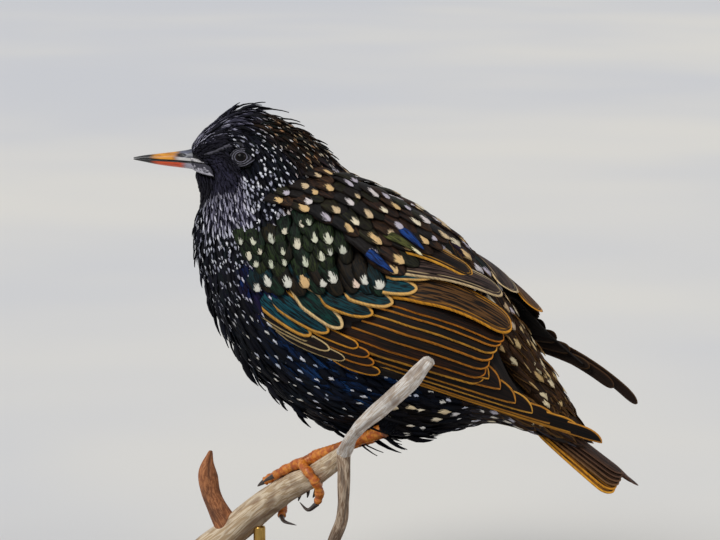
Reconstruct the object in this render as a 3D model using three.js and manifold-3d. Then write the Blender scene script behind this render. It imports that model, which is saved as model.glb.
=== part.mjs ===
// A common starling in winter plumage, a still, life-size model on a short cut length of branch.
// Millimetres, +Z up. The body points along -X and its left side faces -Y.
// The origin is the centre of the underside of the round base that carries the branch.
import * as THREE from 'three';
import { mergeVertices } from 'three/addons/utils/BufferGeometryUtils.js';
import Module from 'manifold-3d';

// Gap that parts which touch keep between them
const gap = 0.3;

// Sections of the body from the bill's root to the tail's root: how far each shares the head's turn,
// its highest point x z, its lowest point x z, and half its width
const bodySections = [
  [1, -57.6, 150.6, -57.3, 144.9, 3.2],
  [1, -52.6, 158.4, -54.9, 140.4, 7.8],
  [1, -40.6, 163.2, -53.4, 133.0, 10.9],
  [0.85, -27.5, 159.0, -55.2, 122.9, 14.4],
  [0.5, -16.1, 151.4, -54.5, 109.3, 21.5],
  [0.15, -3.3, 141.2, -48.6, 91.6, 27.0],
  [0, 15.0, 134.6, -33.3, 74.0, 28.4],
  [0, 33.1, 123.4, -9.6, 60.0, 26.0],
  [0, 48.1, 106.6, 20.2, 58.0, 21.0],
  [0, 59.4, 88.4, 45.4, 64.5, 16.0],
  [0, 71.0, 70.6, 63.8, 61.4, 10.5],
];
const headTurn = THREE.MathUtils.degToRad(20);
const neckPivotX = -31.4;
const headEnd = 3.15;
const neckEnd = 4.3;
const torsoEnd = 8.9;
const bodySides = 22;
const bodyStepsPerSection = 3;

// Surface that the folded wings lie on: x, top z, bottom z, half width
const wingEnvelope = [
  [-42, 150, 72, 22],
  [-25, 148, 68, 28],
  [-5, 145, 60, 31],
  [15, 135.5, 57, 32.2],
  [35, 124.5, 62, 31],
  [50, 110, 63, 27.5],
  [65, 96, 60, 23],
  [80, 84, 57, 19],
  [95, 74, 54, 16],
];
// Core of the wing under its feathers: x, lower and upper angle, outer and inner lift
const wingCore = [
  [-34, 0, 9, -1.2, -3],
  [-28, -4, 27, -1, -6],
  [-15, -11, 42, -1, -7],
  [0, -16, 50, -1, -8],
  [15, -21, 56, -1, -8],
  [30, -27, 60, -1, -7],
  [44, -31, 58, -1, -4.5],
  [53, -29, 30, -1.2, -3],
  [62, -26, -4, -1.3, -2.4],
  [72, -22, -12, -1.3, -2],
];
const wingCoreSides = 5;
// The far wing is folded higher and tighter: x, how far it is raised, and how much of its depth below
// farWingLevel is drawn in (degrees, share)
const farWingFold = [[25, 0, 0], [38, 5, 0.15], [55, 12, 0.6], [62, 16, 0.82], [90, 40, 0.9]];
const farWingLevel = 42;

// Tiers of wing feathers. Roots, middles and tips are x and angle on the wing surface, and lifts
// are the heights of root, middle and tip over it
const wingTiers = [
  {
    count: 7, steps: 3, width: [8, 6], thick: 0.6, tilt: 13, lifts: [-2, -1.2, -1],
    roots: [[4, -5], [0, -12], [-5, -16]],
    middles: [[32, -9], [36, -20], [42, -30]],
    tips: [[53.8, -5], [62, -15], [74, -19], [88.5, -14.5]],
  },
  {
    count: 6, steps: 3, width: [8, 8], thick: 0.6, tilt: 12, lifts: [-1.8, -0.5, -0.3],
    roots: [[18, 20], [12, 8], [2, -6]],
    middles: [[38, 25], [34, 9], [28, -7]],
    tips: [[56.5, 38], [54.5, 18], [52, -4]],
  },
  {
    count: 3, steps: 3, width: [11, 13], thick: 0.7, tilt: 8, lifts: [-1.6, 0.3, 0.9],
    roots: [[8, 44], [15, 30], [20, 18]],
    middles: [[26, 56], [34, 48], [38, 36]],
    tips: [[43, 66], [52, 70], [58.5, 56]],
  },
  {
    count: 4, steps: 3, width: [6, 6], thick: 0.6, tilt: 12, lifts: [-1.6, -0.4, -0.3],
    roots: [[-18, -5], [-22, -8]],
    middles: [[-6, -9], [-8, -14]],
    tips: [[12, -10], [6, -18]],
  },
  {
    count: 7, steps: 3, width: [8.5, 8.5], thick: 0.6, tilt: 11, lifts: [-1.6, 0.3, 0.4],
    roots: [[12, 36], [-2, 20], [-14, 8], [-27, 1]],
    middles: [[22, 38], [10, 20], [-2, 6], [-16, -5]],
    tips: [[33, 38], [21, 16], [8, -1], [-5, -11]],
  },
  {
    count: 5, steps: 3, width: [9.5, 9], thick: 0.6, tilt: 9, lifts: [-1.2, 0.9, 1],
    roots: [[2, 34], [-12, 22], [-30, 6]],
    middles: [[9, 35], [-5, 22], [-22, 5]],
    tips: [[15, 36], [2, 20], [-15, 2]],
  },
  {
    count: 4, steps: 3, width: [10.5, 9.5], thick: 0.6, tilt: 7, lifts: [-1.2, 0.9, 1.2],
    roots: [[10, 52], [-4, 44], [-20, 30]],
    middles: [[18, 56], [5, 46], [-11, 32]],
    tips: [[28, 60], [15, 50], [-1, 36]],
  },
];

// Tail: half of its feathers, from the middle one outwards
const tail = {
  perSide: 6, root: [56, 3.2, 73], tip: [92.8, 9, 50.5], fall: 5.8, notch: 2.5,
  width: 9, thick: 0.55, fold: 26, farFold: 10,
};

// Loose pointed feathers of the body: where their roots stand along the body and round it
// (degrees from the top), their length, width and how far their tips stand off
const looseKinds = {
  crown: { rows: 4, from: 1.4, to: 2.85, spread: 44, perRow: 4, length: 11, width: 3, lift: 2.1 },
  nape: { rows: 2, from: 3.3, to: 3.75, spread: 48, perRow: 4, length: 14, width: 3, lift: 1.9 },
  throat: { rows: 3, from: 3.25, to: 4.05, spread: 42, perRow: 4, length: 13, width: 2.8, lift: 1.6 },
  belly: { rows: 3, from: 6.9, to: 7.8, spread: 34, perRow: 4, length: 14, width: 4.4, lift: 2.4 },
  vent: { rows: 2, from: 8.1, to: 8.6, spread: 50, perRow: 4, length: 14, width: 5, lift: 1 },
  rump: { rows: 2, from: 8.0, to: 8.5, spread: 40, perRow: 4, length: 13, width: 6, lift: 0.9 },
};

// Bill: x, upper edge, line between the mandibles, lower edge, half width
const bill = [
  [-57.9, 150.6, 146.7, 144.2, 3.2],
  [-62, 149.9, 147.0, 144.7, 2.75],
  [-68, 149.2, 147.25, 145.5, 2.05],
  [-73, 148.6, 147.5, 146.5, 1.2],
  [-76.4, 147.95, 147.6, 147.2, 0.4],
];
const nostril = { x: -60.4, z: 148.7, length: 1.1, height: 0.45 };

// Eye: place on the side of the head, ball radius, how far it is sunk, and its ring of lids
const eye = { section: 2.6, angle: 73, radius: 3.1, sunk: 2.1, lidRadius: 2.75, lidThick: 0.55 };

// Branch: route of each length, and its radius along it
const limb = {
  route: [[-58.5, 0, 11], [-45.4, 1.6, 21.8], [-32.9, 0.8, 32.3], [-23.9, -2.3, 38.3], [-14.2, -7.3, 43.6],
    [-5.8, -12.8, 49.0], [0.8, -17.2, 54.4]],
  radii: [5.3, 5.0, 4.8, 4.5, 4.0, 3.3, 2.6],
};
const twig = {
  route: [[0.3, -16.9, 54.0], [6.1, -24.4, 60.9], [11.6, -29.8, 66.0], [21.2, -34.8, 73.9],
    [31.4, -39.7, 82.4], [39.0, -42.2, 90.6]],
  radii: [2.4, 2.0, 2.3, 2.7, 2.8, 2.2],
};
const fork = {
  route: [[0.3, -16.9, 54.0], [0.9, -17.8, 46.9], [0.6, -17.9, 38.6], [-0.4, -17.2, 31.7],
    [-3.2, -17.1, 24.9], [-5.2, -17.0, 18.6]],
  radii: [2.3, 2.0, 2.0, 2.1, 2.1, 2.0],
};
const stub = {
  route: [[-46.5, 1.4, 21.0], [-50.9, 1.1, 28.5], [-53.3, 0.9, 34.5], [-54.2, 0.6, 41.0],
    [-53.1, 0.6, 48.4]],
  radii: [4.4, 3.7, 3.5, 3.4, 0.8],
};
const branchSides = 12;

// Legs: thigh, heel and ankle places, left leg first
const legs = {
  left: { hip: [21, -11, 74], heel: [13.6, -14.4, 61.9], ankle: [-12.6, -8.6, 50.6] },
  right: { hip: [7, 11, 70], heel: [-0.5, 14.2, 54.6], ankle: [-21.8, -1.6, 45.6] },
};
const thighRadii = [8.5, 6.2, 3.0];
const shankRadii = [2.5, 1.75, 1.65, 2.1];
const toeRadius = 1.35;
const clawRadius = 0.75;

// Base and rods that hold the branch up
const base = { radius: 52, height: 12 };
const rodRadius = 2;
const rods = { front: [-36, 0.9, 24], rear: [-5.2, -17.0, 18.3] };

const wasm = await Module();
wasm.setup();

const vector = (p) => new THREE.Vector3(p[0], p[1], p[2]);
const clamp = THREE.MathUtils.clamp;
const radians = THREE.MathUtils.degToRad;

// A closed three.js geometry as a solid, turned so that its faces point out
function solid(geometry) {
  const plain = geometry.clone();
  plain.deleteAttribute('normal');
  plain.deleteAttribute('uv');
  const merged = mergeVertices(plain, 1e-4);
  const vertProperties = new Float32Array(merged.attributes.position.array);
  const triVerts = new Uint32Array(merged.index.array);
  let made = new wasm.Manifold(new wasm.Mesh({ numProp: 3, vertProperties, triVerts }));
  if (made.volume() < 0) {
    for (let i = 0; i < triVerts.length; i += 3) {
      [triVerts[i + 1], triVerts[i + 2]] = [triVerts[i + 2], triVerts[i + 1]];
    }
    made = new wasm.Manifold(new wasm.Mesh({ numProp: 3, vertProperties, triVerts }));
  }
  return made;
}

// Closed solid through rings of equally many points. From point foldFrom on, the quads are split
// the other way, so that a thin leaf has the same triangles on both faces
function throughRings(rings, foldFrom = Infinity) {
  const count = rings[0].length;
  const positions = rings.flat().flatMap((p) => [p.x, p.y, p.z]);
  const index = [];
  for (let i = 0; i + 1 < rings.length; i += 1) {
    for (let j = 0; j < count; j += 1) {
      const start = i * count;
      const [a, b] = [start + j, start + (j + 1) % count];
      if (j < foldFrom) index.push(a, b, b + count, a, b + count, a + count);
      else index.push(a, b, a + count, b, b + count, a + count);
    }
  }
  const last = (rings.length - 1) * count;
  for (let j = 0; j < count / 2 - 1; j += 1) {
    const k = count - 1 - j;
    index.push(j, k, j + 1, j + 1, k, k - 1);
    index.push(last + j, last + j + 1, last + k, last + j + 1, last + k - 1, last + k);
  }
  const geometry = new THREE.BufferGeometry();
  geometry.setAttribute('position', new THREE.Float32BufferAttribute(positions, 3));
  geometry.setIndex(index.filter((v, i, all) => {
    const t = i - (i % 3);
    return all[t] !== all[t + 1] && all[t + 1] !== all[t + 2] && all[t] !== all[t + 2];
  }));
  return solid(geometry);
}

const join = (pieces) => pieces.reduce((whole, piece) => whole.add(piece));
const cut = (whole, ...tools) => tools.reduce((rest, tool) => rest.subtract(tool), whole);

// The largest closed surface of a solid
function largest(piece) {
  return piece.decompose().reduce((best, one) => (one.volume() > best.volume() ? one : best));
}

// Value between the rows of a table whose first column is x
function between(table, x, column) {
  const row = table.findIndex((r, i) => i > 0 && (x <= r[0] || i === table.length - 1));
  const [a, b] = [table[row - 1], table[row]];
  const t = clamp((x - a[0]) / (b[0] - a[0]), 0, 1);
  return THREE.MathUtils.lerp(a[column], b[column], t);
}

// Smooth value of a list at a place counted in its items
function smooth(list, place) {
  const i = clamp(Math.floor(place), 0, list.length - 2);
  const t = place - i;
  const at = (k) => list[clamp(k, 0, list.length - 1)];
  const [p, q, r, s] = [at(i - 1), at(i), at(i + 1), at(i + 2)];
  const bend = (r - p) / 2;
  const bendNext = (s - q) / 2;
  return ((2 * t ** 3 - 3 * t * t + 1) * q + (t ** 3 - 2 * t * t + t) * bend
    + (3 * t * t - 2 * t ** 3) * r + (t ** 3 - t * t) * bendNext);
}

const sectionColumns = [0, 1, 2, 3, 4, 5].map((k) => bodySections.map((row) => row[k]));

// Point of the body's skin: section place, angle from the top towards the left side in radians
function skinPoint(place, angle) {
  const [share, topX, topZ, lowX, lowZ, half] = sectionColumns.map((c) => smooth(c, place));
  const turn = share * headTurn;
  const along = (topX + lowX) / 2 + Math.cos(angle) * (topX - lowX) / 2 - neckPivotX;
  const up = (topZ + lowZ) / 2 + Math.cos(angle) * (topZ - lowZ) / 2;
  const out = half * Math.sin(angle);
  return new THREE.Vector3(
    neckPivotX + along * Math.cos(turn) + out * Math.sin(turn),
    along * Math.sin(turn) - out * Math.cos(turn),
    up,
  );
}

function skinNormal(place, angle) {
  const step = 0.02;
  const from = clamp(place, step, bodySections.length - 1 - step);
  const alongSkin = skinPoint(from + step, angle).sub(skinPoint(from - step, angle));
  const roundSkin = skinPoint(from, angle + step).sub(skinPoint(from, angle - step));
  return roundSkin.cross(alongSkin).normalize();
}

function onSkin(place, angle, lift) {
  return skinPoint(place, angle).addScaledVector(skinNormal(place, angle), lift);
}

// Length of body between two section places, its skin moved out by lift
function bodyLength(from, to, lift = 0) {
  const steps = Math.max(2, Math.round((to - from) * bodyStepsPerSection));
  const rings = [];
  for (let i = 0; i <= steps; i += 1) {
    const place = THREE.MathUtils.lerp(from, to, i / steps);
    const ring = [];
    for (let j = 0; j < bodySides; j += 1) {
      const angle = (j + 0.5) / bodySides * 2 * Math.PI;
      ring.push(lift ? onSkin(place, angle, lift) : skinPoint(place, angle));
    }
    rings.push(ring);
  }
  return throughRings(rings);
}

// Widths along a feather from root to tip: a broad flight feather, or a pointed one
function flightOutline(t) {
  const closing = Math.max(0, (t - 0.74) / 0.27);
  return Math.min(1, 0.5 + 1.6 * t) * Math.sqrt(Math.max(0.03, 1 - closing ** 2.2));
}

function lanceOutline(t) {
  const closing = Math.max(0, (t - 0.35) / 0.65);
  return Math.min(1, 0.6 + 1.5 * t) * Math.max(0.14, 1 - closing ** 1.3);
}

// Closed leaf along a route. outward holds the direction that its face looks in at each point
function vane({ route, outward, width, thick, tilt = 0, camber = 0.01, outline = flightOutline,
  steps = 4, grow = 0 }) {
  const curve = new THREE.CatmullRomCurve3(route);
  const rings = [];
  for (let i = 0; i <= steps; i += 1) {
    const t = 1 - (1 - i / steps) ** 1.25;
    const along = curve.getTangent(t);
    const k = Math.min(Math.floor(t * (outward.length - 1)), outward.length - 2);
    const up = outward[k].clone().lerp(outward[k + 1], t * (outward.length - 1) - k);
    up.addScaledVector(along, -up.dot(along)).normalize();
    up.applyAxisAngle(along, radians(tilt));
    const side = along.clone().cross(up);
    const half = width / 2 * outline(t) + grow;
    const deep = thick / 2 * (0.55 + 0.45 * outline(t)) + grow;
    const end = i === 0 ? -grow : i === steps ? grow : 0;
    const centre = curve.getPoint(t).addScaledVector(along, end);
    const drop = camber * half * half;
    const at = (s, h) => {
      const edge = centre.clone().addScaledVector(side, s * half);
      return edge.addScaledVector(up, h - Math.abs(s) * drop);
    };
    if (outline === lanceOutline) rings.push([at(-1, 0), at(0, deep), at(1, 0), at(0, -deep)]);
    else rings.push([at(-1, deep), at(1, deep), at(1, -deep), at(-1, -deep)]);
  }
  return throughRings(rings, 2);
}

// Loose feather of the body whose root is sunk in the skin and whose tip stands off by lift
function looseFeather({ place, angle, length, width, lift, grow = 0 }) {
  const perSection = skinPoint(Math.min(place + 0.5, 10), angle).distanceTo(skinPoint(place - 0.5, angle));
  const reach = length / perSection;
  const stops = [0, 0.5, 1];
  const heights = [-0.9, lift * 0.55 + 0.3, lift + 0.3];
  const places = stops.map((t) => Math.min(place + t * reach, bodySections.length - 1));
  return vane({
    route: places.map((p, i) => onSkin(p, angle, heights[i])),
    outward: places.map((p) => skinNormal(p, angle)),
    width, thick: 1.2, camber: 0, outline: lanceOutline, steps: 2, grow,
  });
}

// Rows of loose feathers about the angle middle, staggered like roof tiles
function featherRows(kind, middle, grow) {
  const made = [];
  for (let row = 0; row < kind.rows; row += 1) {
    const place = THREE.MathUtils.lerp(kind.from, kind.to, row / (kind.rows - 1));
    for (let k = 0; k < kind.perRow; k += 1) {
      const share = (k + (row % 2 ? 0.5 : 0)) / (kind.perRow - 0.5) * 2 - 1;
      const wobble = Math.sin(row * 5.1 + k * 2.7);
      made.push(looseFeather({
        place: place + 0.04 * wobble,
        angle: radians(middle + share * kind.spread),
        length: kind.length * (1 + 0.12 * wobble),
        width: kind.width,
        lift: kind.lift * (1 + 0.25 * wobble),
        grow,
      }));
    }
  }
  return made;
}

function torsoCore(grow = 0) {
  const ends = grow ? 0.02 : 0;
  return bodyLength(neckEnd + 0.012 - ends, torsoEnd - 0.012 + ends, grow);
}

function torso(grow = 0) {
  return join([torsoCore(grow), ...featherRows(looseKinds.belly, 180, grow),
    ...featherRows(looseKinds.vent, 180, grow), ...featherRows(looseKinds.rump, 0, grow)]);
}

function neck(grow = 0) {
  const ends = grow ? 0.02 : 0;
  const core = bodyLength(headEnd + 0.012 - ends, neckEnd - 0.012 + ends, grow);
  const loose = [...featherRows(looseKinds.nape, 0, grow), ...featherRows(looseKinds.throat, 180, grow)];
  return join([core, ...loose]);
}

// Place and frame of the eye on one side, 1 for the left
function eyeFrame(side) {
  const angle = radians(eye.angle) * side;
  const outwards = skinNormal(eye.section, angle);
  const centre = skinPoint(eye.section, angle).addScaledVector(outwards, -eye.sunk);
  return { centre, outwards };
}

function eyeball(side, grow = 0) {
  const { centre } = eyeFrame(side);
  const ball = new THREE.IcosahedronGeometry(eye.radius + grow, 2);
  return solid(ball.translate(centre.x, centre.y, centre.z));
}

function lids(side) {
  const { centre, outwards } = eyeFrame(side);
  const ring = new THREE.TorusGeometry(eye.lidRadius, eye.lidThick, 4, 14);
  ring.scale(1.08, 0.92, 1);
  const facing = new THREE.Quaternion().setFromUnitVectors(new THREE.Vector3(0, 0, 1), outwards);
  ring.applyQuaternion(facing);
  const middle = centre.clone().addScaledVector(outwards, eye.sunk * 0.86);
  return solid(ring.translate(middle.x, middle.y, middle.z));
}

// A point of the head given in the head's own turned frame: x, distance to the left, z
function inHead(x, left, z) {
  const along = x - neckPivotX;
  return new THREE.Vector3(
    neckPivotX + along * Math.cos(headTurn) + left * Math.sin(headTurn),
    along * Math.sin(headTurn) - left * Math.cos(headTurn),
    z,
  );
}

// Shallow groove that carries the line of the mouth back into the cheeks
function mouthGroove() {
  const slab = throughRings([[-58.5, 146.45], [-54.5, 145.9], [-51, 144.9]].map(([x, z]) => [
    inHead(x, -12, z + 0.28), inHead(x, 12, z + 0.28), inHead(x, 12, z - 0.28), inHead(x, -12, z - 0.28),
  ]));
  return cut(slab, bodyLength(0, headEnd, -0.8));
}

function head() {
  const core = bodyLength(0, headEnd - 0.012);
  const feathered = join([core, ...featherRows(looseKinds.crown, 0, 0), lids(1), lids(-1)]);
  return cut(feathered, mouthGroove(), eyeball(1, gap), eyeball(-1, gap));
}

// One mandible: a half round with its flat face on the line between the two
function mandible(edgeColumn, sign) {
  const rings = bill.map((row) => {
    const line = row[2] + sign * gap / 2;
    const height = Math.max(0.12, Math.abs(row[edgeColumn] - line));
    const ring = [];
    for (let j = 0; j <= 8; j += 1) {
      const angle = j / 8 * Math.PI;
      ring.push(inHead(row[0], row[4] * Math.cos(angle), line + sign * height * Math.sin(angle) ** 0.9));
    }
    ring.push(inHead(row[0], -row[4] * 0.4, line));
    return ring;
  });
  return throughRings(rings);
}

function billUpper() {
  const holes = [1, -1].map((side) => {
    const spot = inHead(nostril.x, side * 2.55, nostril.z);
    const hole = new THREE.SphereGeometry(1, 8, 5).scale(nostril.length, 0.6, nostril.height);
    return solid(hole.rotateZ(headTurn).translate(spot.x, spot.y, spot.z));
  });
  return cut(mandible(1, 1), ...holes);
}

// Point of the surface that a folded wing lies on. side is 1 for the left wing
function wingPoint(x, angleDegrees, lift, side) {
  let folded = angleDegrees;
  if (side < 0) {
    folded += between(farWingFold, x, 1);
    folded += Math.max(0, farWingLevel - folded) * between(farWingFold, x, 2);
  }
  const angle = radians(folded);
  const top = between(wingEnvelope, x, 1);
  const bottom = between(wingEnvelope, x, 2);
  const half = between(wingEnvelope, x, 3);
  return new THREE.Vector3(
    x,
    -side * (half + lift) * Math.cos(angle),
    (top + bottom) / 2 + ((top - bottom) / 2 + lift) * Math.sin(angle),
  );
}

function wingNormal(x, angle, side) {
  const alongWing = wingPoint(x + 2, angle, 0, side).sub(wingPoint(x - 2, angle, 0, side));
  const roundWing = wingPoint(x, angle + 2, 0, side).sub(wingPoint(x, angle - 2, 0, side));
  return alongWing.cross(roundWing).multiplyScalar(side).normalize();
}

function wingCoreSolid(side) {
  const rings = wingCore.map(([x, low, high, outer, inner]) => {
    const ring = [];
    for (let j = 0; j <= wingCoreSides; j += 1) {
      const t = j / wingCoreSides;
      const crown = 1 - (2 * t - 1) ** 4;
      ring.push(wingPoint(x, THREE.MathUtils.lerp(low, high, t), outer - 0.9 * (1 - crown), side));
    }
    for (let j = wingCoreSides; j >= 0; j -= 1) {
      ring.push(wingPoint(x, THREE.MathUtils.lerp(low, high, j / wingCoreSides), inner, side));
    }
    return ring;
  });
  return throughRings(rings, wingCoreSides + 1);
}

// Place along a tier: x and angle between the listed ends
function tierPlace(list, t) {
  return [0, 1].map((k) => smooth(list.map((p) => p[k]), t * (list.length - 1)));
}

function tierFeathers(tier, side) {
  const made = [];
  for (let i = 0; i < tier.count; i += 1) {
    const t = i / (tier.count - 1);
    const stops = [tier.roots, tier.middles, tier.tips].map((list) => tierPlace(list, t));
    made.push(vane({
      route: stops.map(([x, angle], k) => wingPoint(x, angle, tier.lifts[k], side)),
      outward: stops.map(([x, angle]) => wingNormal(x, angle, side)),
      width: THREE.MathUtils.lerp(tier.width[0], tier.width[1], t),
      thick: tier.thick,
      tilt: -tier.tilt * side,
      steps: tier.steps,
    }));
  }
  return made;
}

function wing(side) {
  return join([wingCoreSolid(side), ...wingTiers.flatMap((tier) => tierFeathers(tier, side))]);
}

// Tail: its root under the coverts, and feathers folded like a roof, the outer ones lower
function tailSolid() {
  const feathers = [];
  for (const side of [1, -1]) {
    for (let i = 0; i < tail.perSide; i += 1) {
      const t = (i + 0.5) / tail.perSide;
      const fall = tail.fall * (t + (side < 0 ? 0.08 : 0));
      const notch = tail.notch * (1 - t) - 3.2 * Math.max(0, t - 0.75);
      const root = new THREE.Vector3(tail.root[0], -side * tail.root[1] * t, tail.root[2] - fall * 0.3);
      const tip = new THREE.Vector3(tail.tip[0] - notch, -side * tail.tip[1] * t, tail.tip[2] - fall);
      const middle = root.clone().lerp(tip, 0.5);
      middle.y *= 1.15;
      const roll = radians(side > 0 ? tail.fold : tail.farFold) * t * side;
      const upwards = new THREE.Vector3(0.54, -Math.sin(roll), 0.84 * Math.cos(roll)).normalize();
      feathers.push(vane({
        route: [root, middle, tip], outward: [upwards, upwards, upwards],
        width: tail.width, thick: tail.thick, steps: 3,
      }));
    }
  }
  return join([bodyLength(torsoEnd + 0.012, bodySections.length - 1), ...feathers]);
}

// Round tube along a route with a radius at each point
function branchLength({ route, radii }, grow = 0, sides = branchSides, perStretch = 2) {
  const curve = new THREE.CatmullRomCurve3(route.map(vector));
  const steps = Math.round((route.length - 1) * perStretch);
  const frames = curve.computeFrenetFrames(steps);
  const rings = [];
  for (let i = 0; i <= steps; i += 1) {
    const centre = curve.getPoint(i / steps);
    const end = i === 0 ? -grow : i === steps ? grow : 0;
    centre.addScaledVector(frames.tangents[i], end);
    const radius = smooth(radii, i / steps * (radii.length - 1)) + grow;
    const ring = [];
    for (let j = 0; j < sides; j += 1) {
      const angle = j / sides * 2 * Math.PI;
      ring.push(centre.clone().addScaledVector(frames.normals[i], radius * Math.cos(angle))
        .addScaledVector(frames.binormals[i], radius * Math.sin(angle)));
    }
    rings.push(ring);
  }
  return throughRings(rings);
}

// Place beside the limb: share of its length, angle round it from above towards the left, distance
const limbCurve = new THREE.CatmullRomCurve3(limb.route.map(vector));
function besideLimb(share, angleDegrees, distance) {
  const centre = limbCurve.getPoint(share);
  const along = limbCurve.getTangent(share);
  const up = new THREE.Vector3(0, 0, 1).addScaledVector(along, -along.z).normalize();
  const left = up.clone().cross(along);
  if (left.y > 0) left.negate();
  const angle = radians(angleDegrees);
  const radius = smooth(limb.radii, share * (limb.radii.length - 1)) + distance;
  centre.addScaledVector(up, radius * Math.cos(angle));
  return centre.addScaledVector(left, radius * Math.sin(angle));
}

// Toe: stops are share of the limb, angle round it and distance from its bark; the last two are the
// claw
function toe(stops, ankle, grow = 0) {
  const route = [ankle, ...stops.map(([share, angle, off]) => besideLimb(share, angle, off).toArray())];
  const flesh = { route: route.slice(0, -2) };
  flesh.radii = flesh.route.map((p, i) => toeRadius * (1.15 - 0.2 * i / flesh.route.length));
  const nail = { route: route.slice(-3), radii: [clawRadius * 1.2, clawRadius, 0.22] };
  return join([branchLength(flesh, grow, 6), branchLength(nail, grow, 5, 1.5)]);
}

const hug = toeRadius + gap;
const toes = {
  left: [
    [[0.60, 12, hug], [0.54, 20, hug], [0.47, 26, hug], [0.40, 34, 1.9], [0.365, 56, 1.4]],
    [[0.60, -24, hug], [0.54, -58, hug], [0.49, -96, hug], [0.45, -128, 1.9], [0.455, -160, 2.0]],
    [[0.65, -40, hug], [0.63, -84, hug], [0.60, -128, hug], [0.59, -155, 2.2], [0.605, -182, 3.0]],
    [[0.70, 42, hug], [0.75, 88, hug], [0.757, 132, hug + 0.1], [0.728, 163, 3.6], [0.693, 165, 6.3],
      [0.618, 165, 6.3], [0.556, 166, 2.1]],
  ],
  right: [
    [[0.44, -8, hug], [0.40, -4, hug], [0.37, 2, hug], [0.34, 10, 1.5], [0.32, 20, 1.1]],
    [[0.43, -44, hug], [0.37, -88, hug], [0.335, -130, hug], [0.335, -158, 1.9], [0.37, -182, 4.0],
      [0.45, -182, 7.6]],
    [[0.52, -60, hug + 0.2], [0.53, -100, hug + 0.2], [0.525, -136, 2.0], [0.51, -158, 2.0]],
  ],
};

function foot(sideName, grow = 0) {
  const { ankle } = legs[sideName];
  const knuckle = new THREE.IcosahedronGeometry(2.3 + grow, 1);
  return join([
    solid(knuckle.translate(ankle[0], ankle[1], ankle[2] - 0.6)),
    ...toes[sideName].map((stops) => toe(stops, ankle, grow)),
  ]);
}

function thigh(sideName, grow = 0) {
  const { hip, heel } = legs[sideName];
  const middle = hip.map((v, i) => (v + heel[i]) / 2);
  return branchLength({ route: [hip, middle, heel], radii: thighRadii }, grow, 12);
}

function shank(sideName) {
  const { heel, ankle } = legs[sideName];
  const route = [0, 0.15, 0.85, 1].map((t) => heel.map((v, i) => THREE.MathUtils.lerp(v, ankle[i], t)));
  return branchLength({ route, radii: shankRadii }, 0, 10);
}

function baseSolid() {
  const { radius, height } = base;
  const profile = [[0, 0], [radius - 1.5, 0], [radius, 1.2], [radius, 6.5], [radius - 2.5, 9],
    [radius - 5, 9.4], [radius - 6, height - 0.6], [radius - 7, height], [0, height]];
  const turned = new THREE.LatheGeometry(profile.map(([r, z]) => new THREE.Vector2(r, z)), 24);
  return solid(turned.rotateX(Math.PI / 2));
}

function rod([x, y, top]) {
  const bottom = base.height + gap;
  const bar = new THREE.CylinderGeometry(rodRadius, rodRadius, top - bottom, 16);
  bar.rotateX(Math.PI / 2).translate(x, y, (top + bottom) / 2);
  return solid(bar);
}

const group = new THREE.Group();

function addPart(name, piece, color, roughness, metalness = 0) {
  const { vertProperties, triVerts } = largest(piece).getMesh();
  const geometry = new THREE.BufferGeometry();
  geometry.setAttribute('position', new THREE.BufferAttribute(vertProperties, 3));
  geometry.setIndex(new THREE.BufferAttribute(triVerts, 1));
  geometry.computeVertexNormals();
  const mesh = new THREE.Mesh(geometry, new THREE.MeshStandardMaterial({ color, roughness, metalness }));
  mesh.name = name;
  group.add(mesh);
}

const plumage = 0x17181c;
const wingColor = 0x3a2a18;
const legColor = 0x9c5426;
const wood = 0x8a7560;

const torsoGrown = torso(gap);
const neckGrown = neck(gap);
const limbGrown = branchLength(limb, gap);
const twigGrown = branchLength(twig, gap);
const feetGrown = ['left', 'right'].map((sideName) => foot(sideName, gap));
addPart('torso', torso(), plumage, 0.6);
addPart('neck', cut(neck(), torsoGrown), plumage, 0.55);
addPart('head', cut(head(), neckGrown, torsoGrown), plumage, 0.55);
addPart('bill_upper', billUpper(), 0xc8742c, 0.4);
addPart('bill_lower', mandible(3, -1), 0xb8742f, 0.4);
addPart('tail', cut(tailSolid(), torsoGrown), wingColor, 0.6);
for (const [sideName, side] of [['left', 1], ['right', -1]]) {
  const shankNeighbours = [thigh(sideName, gap), ...feetGrown, torsoGrown, limbGrown];
  addPart(`eye_${sideName}`, eyeball(side), 0x0a0706, 0.1);
  addPart(`wing_${sideName}`, cut(wing(side), torsoCore(gap), neckGrown), wingColor, 0.6);
  addPart(`thigh_${sideName}`, cut(thigh(sideName), torsoGrown), plumage, 0.7);
  addPart(`shank_${sideName}`, cut(shank(sideName), ...shankNeighbours), legColor, 0.5);
}
addPart('foot_left', cut(foot('left'), limbGrown), legColor, 0.5);
addPart('foot_right', cut(foot('right'), limbGrown, feetGrown[0]), legColor, 0.5);
addPart('perch_limb', branchLength(limb), wood, 0.9);
addPart('perch_twig', cut(branchLength(twig), limbGrown), 0xb3a898, 0.9);
addPart('perch_fork', cut(branchLength(fork), limbGrown, twigGrown), 0x7d6a58, 0.9);
addPart('perch_stub', cut(branchLength(stub), limbGrown), 0x7d4a30, 0.9);
addPart('stand_base', baseSolid(), 0x4a3020, 0.4);
addPart('stand_rod_front', cut(rod(rods.front), limbGrown), 0xb08d57, 0.3, 1);
addPart('stand_rod_rear', cut(rod(rods.rear), branchLength(fork, gap)), 0xb08d57, 0.3, 1);

export default group;
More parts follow.
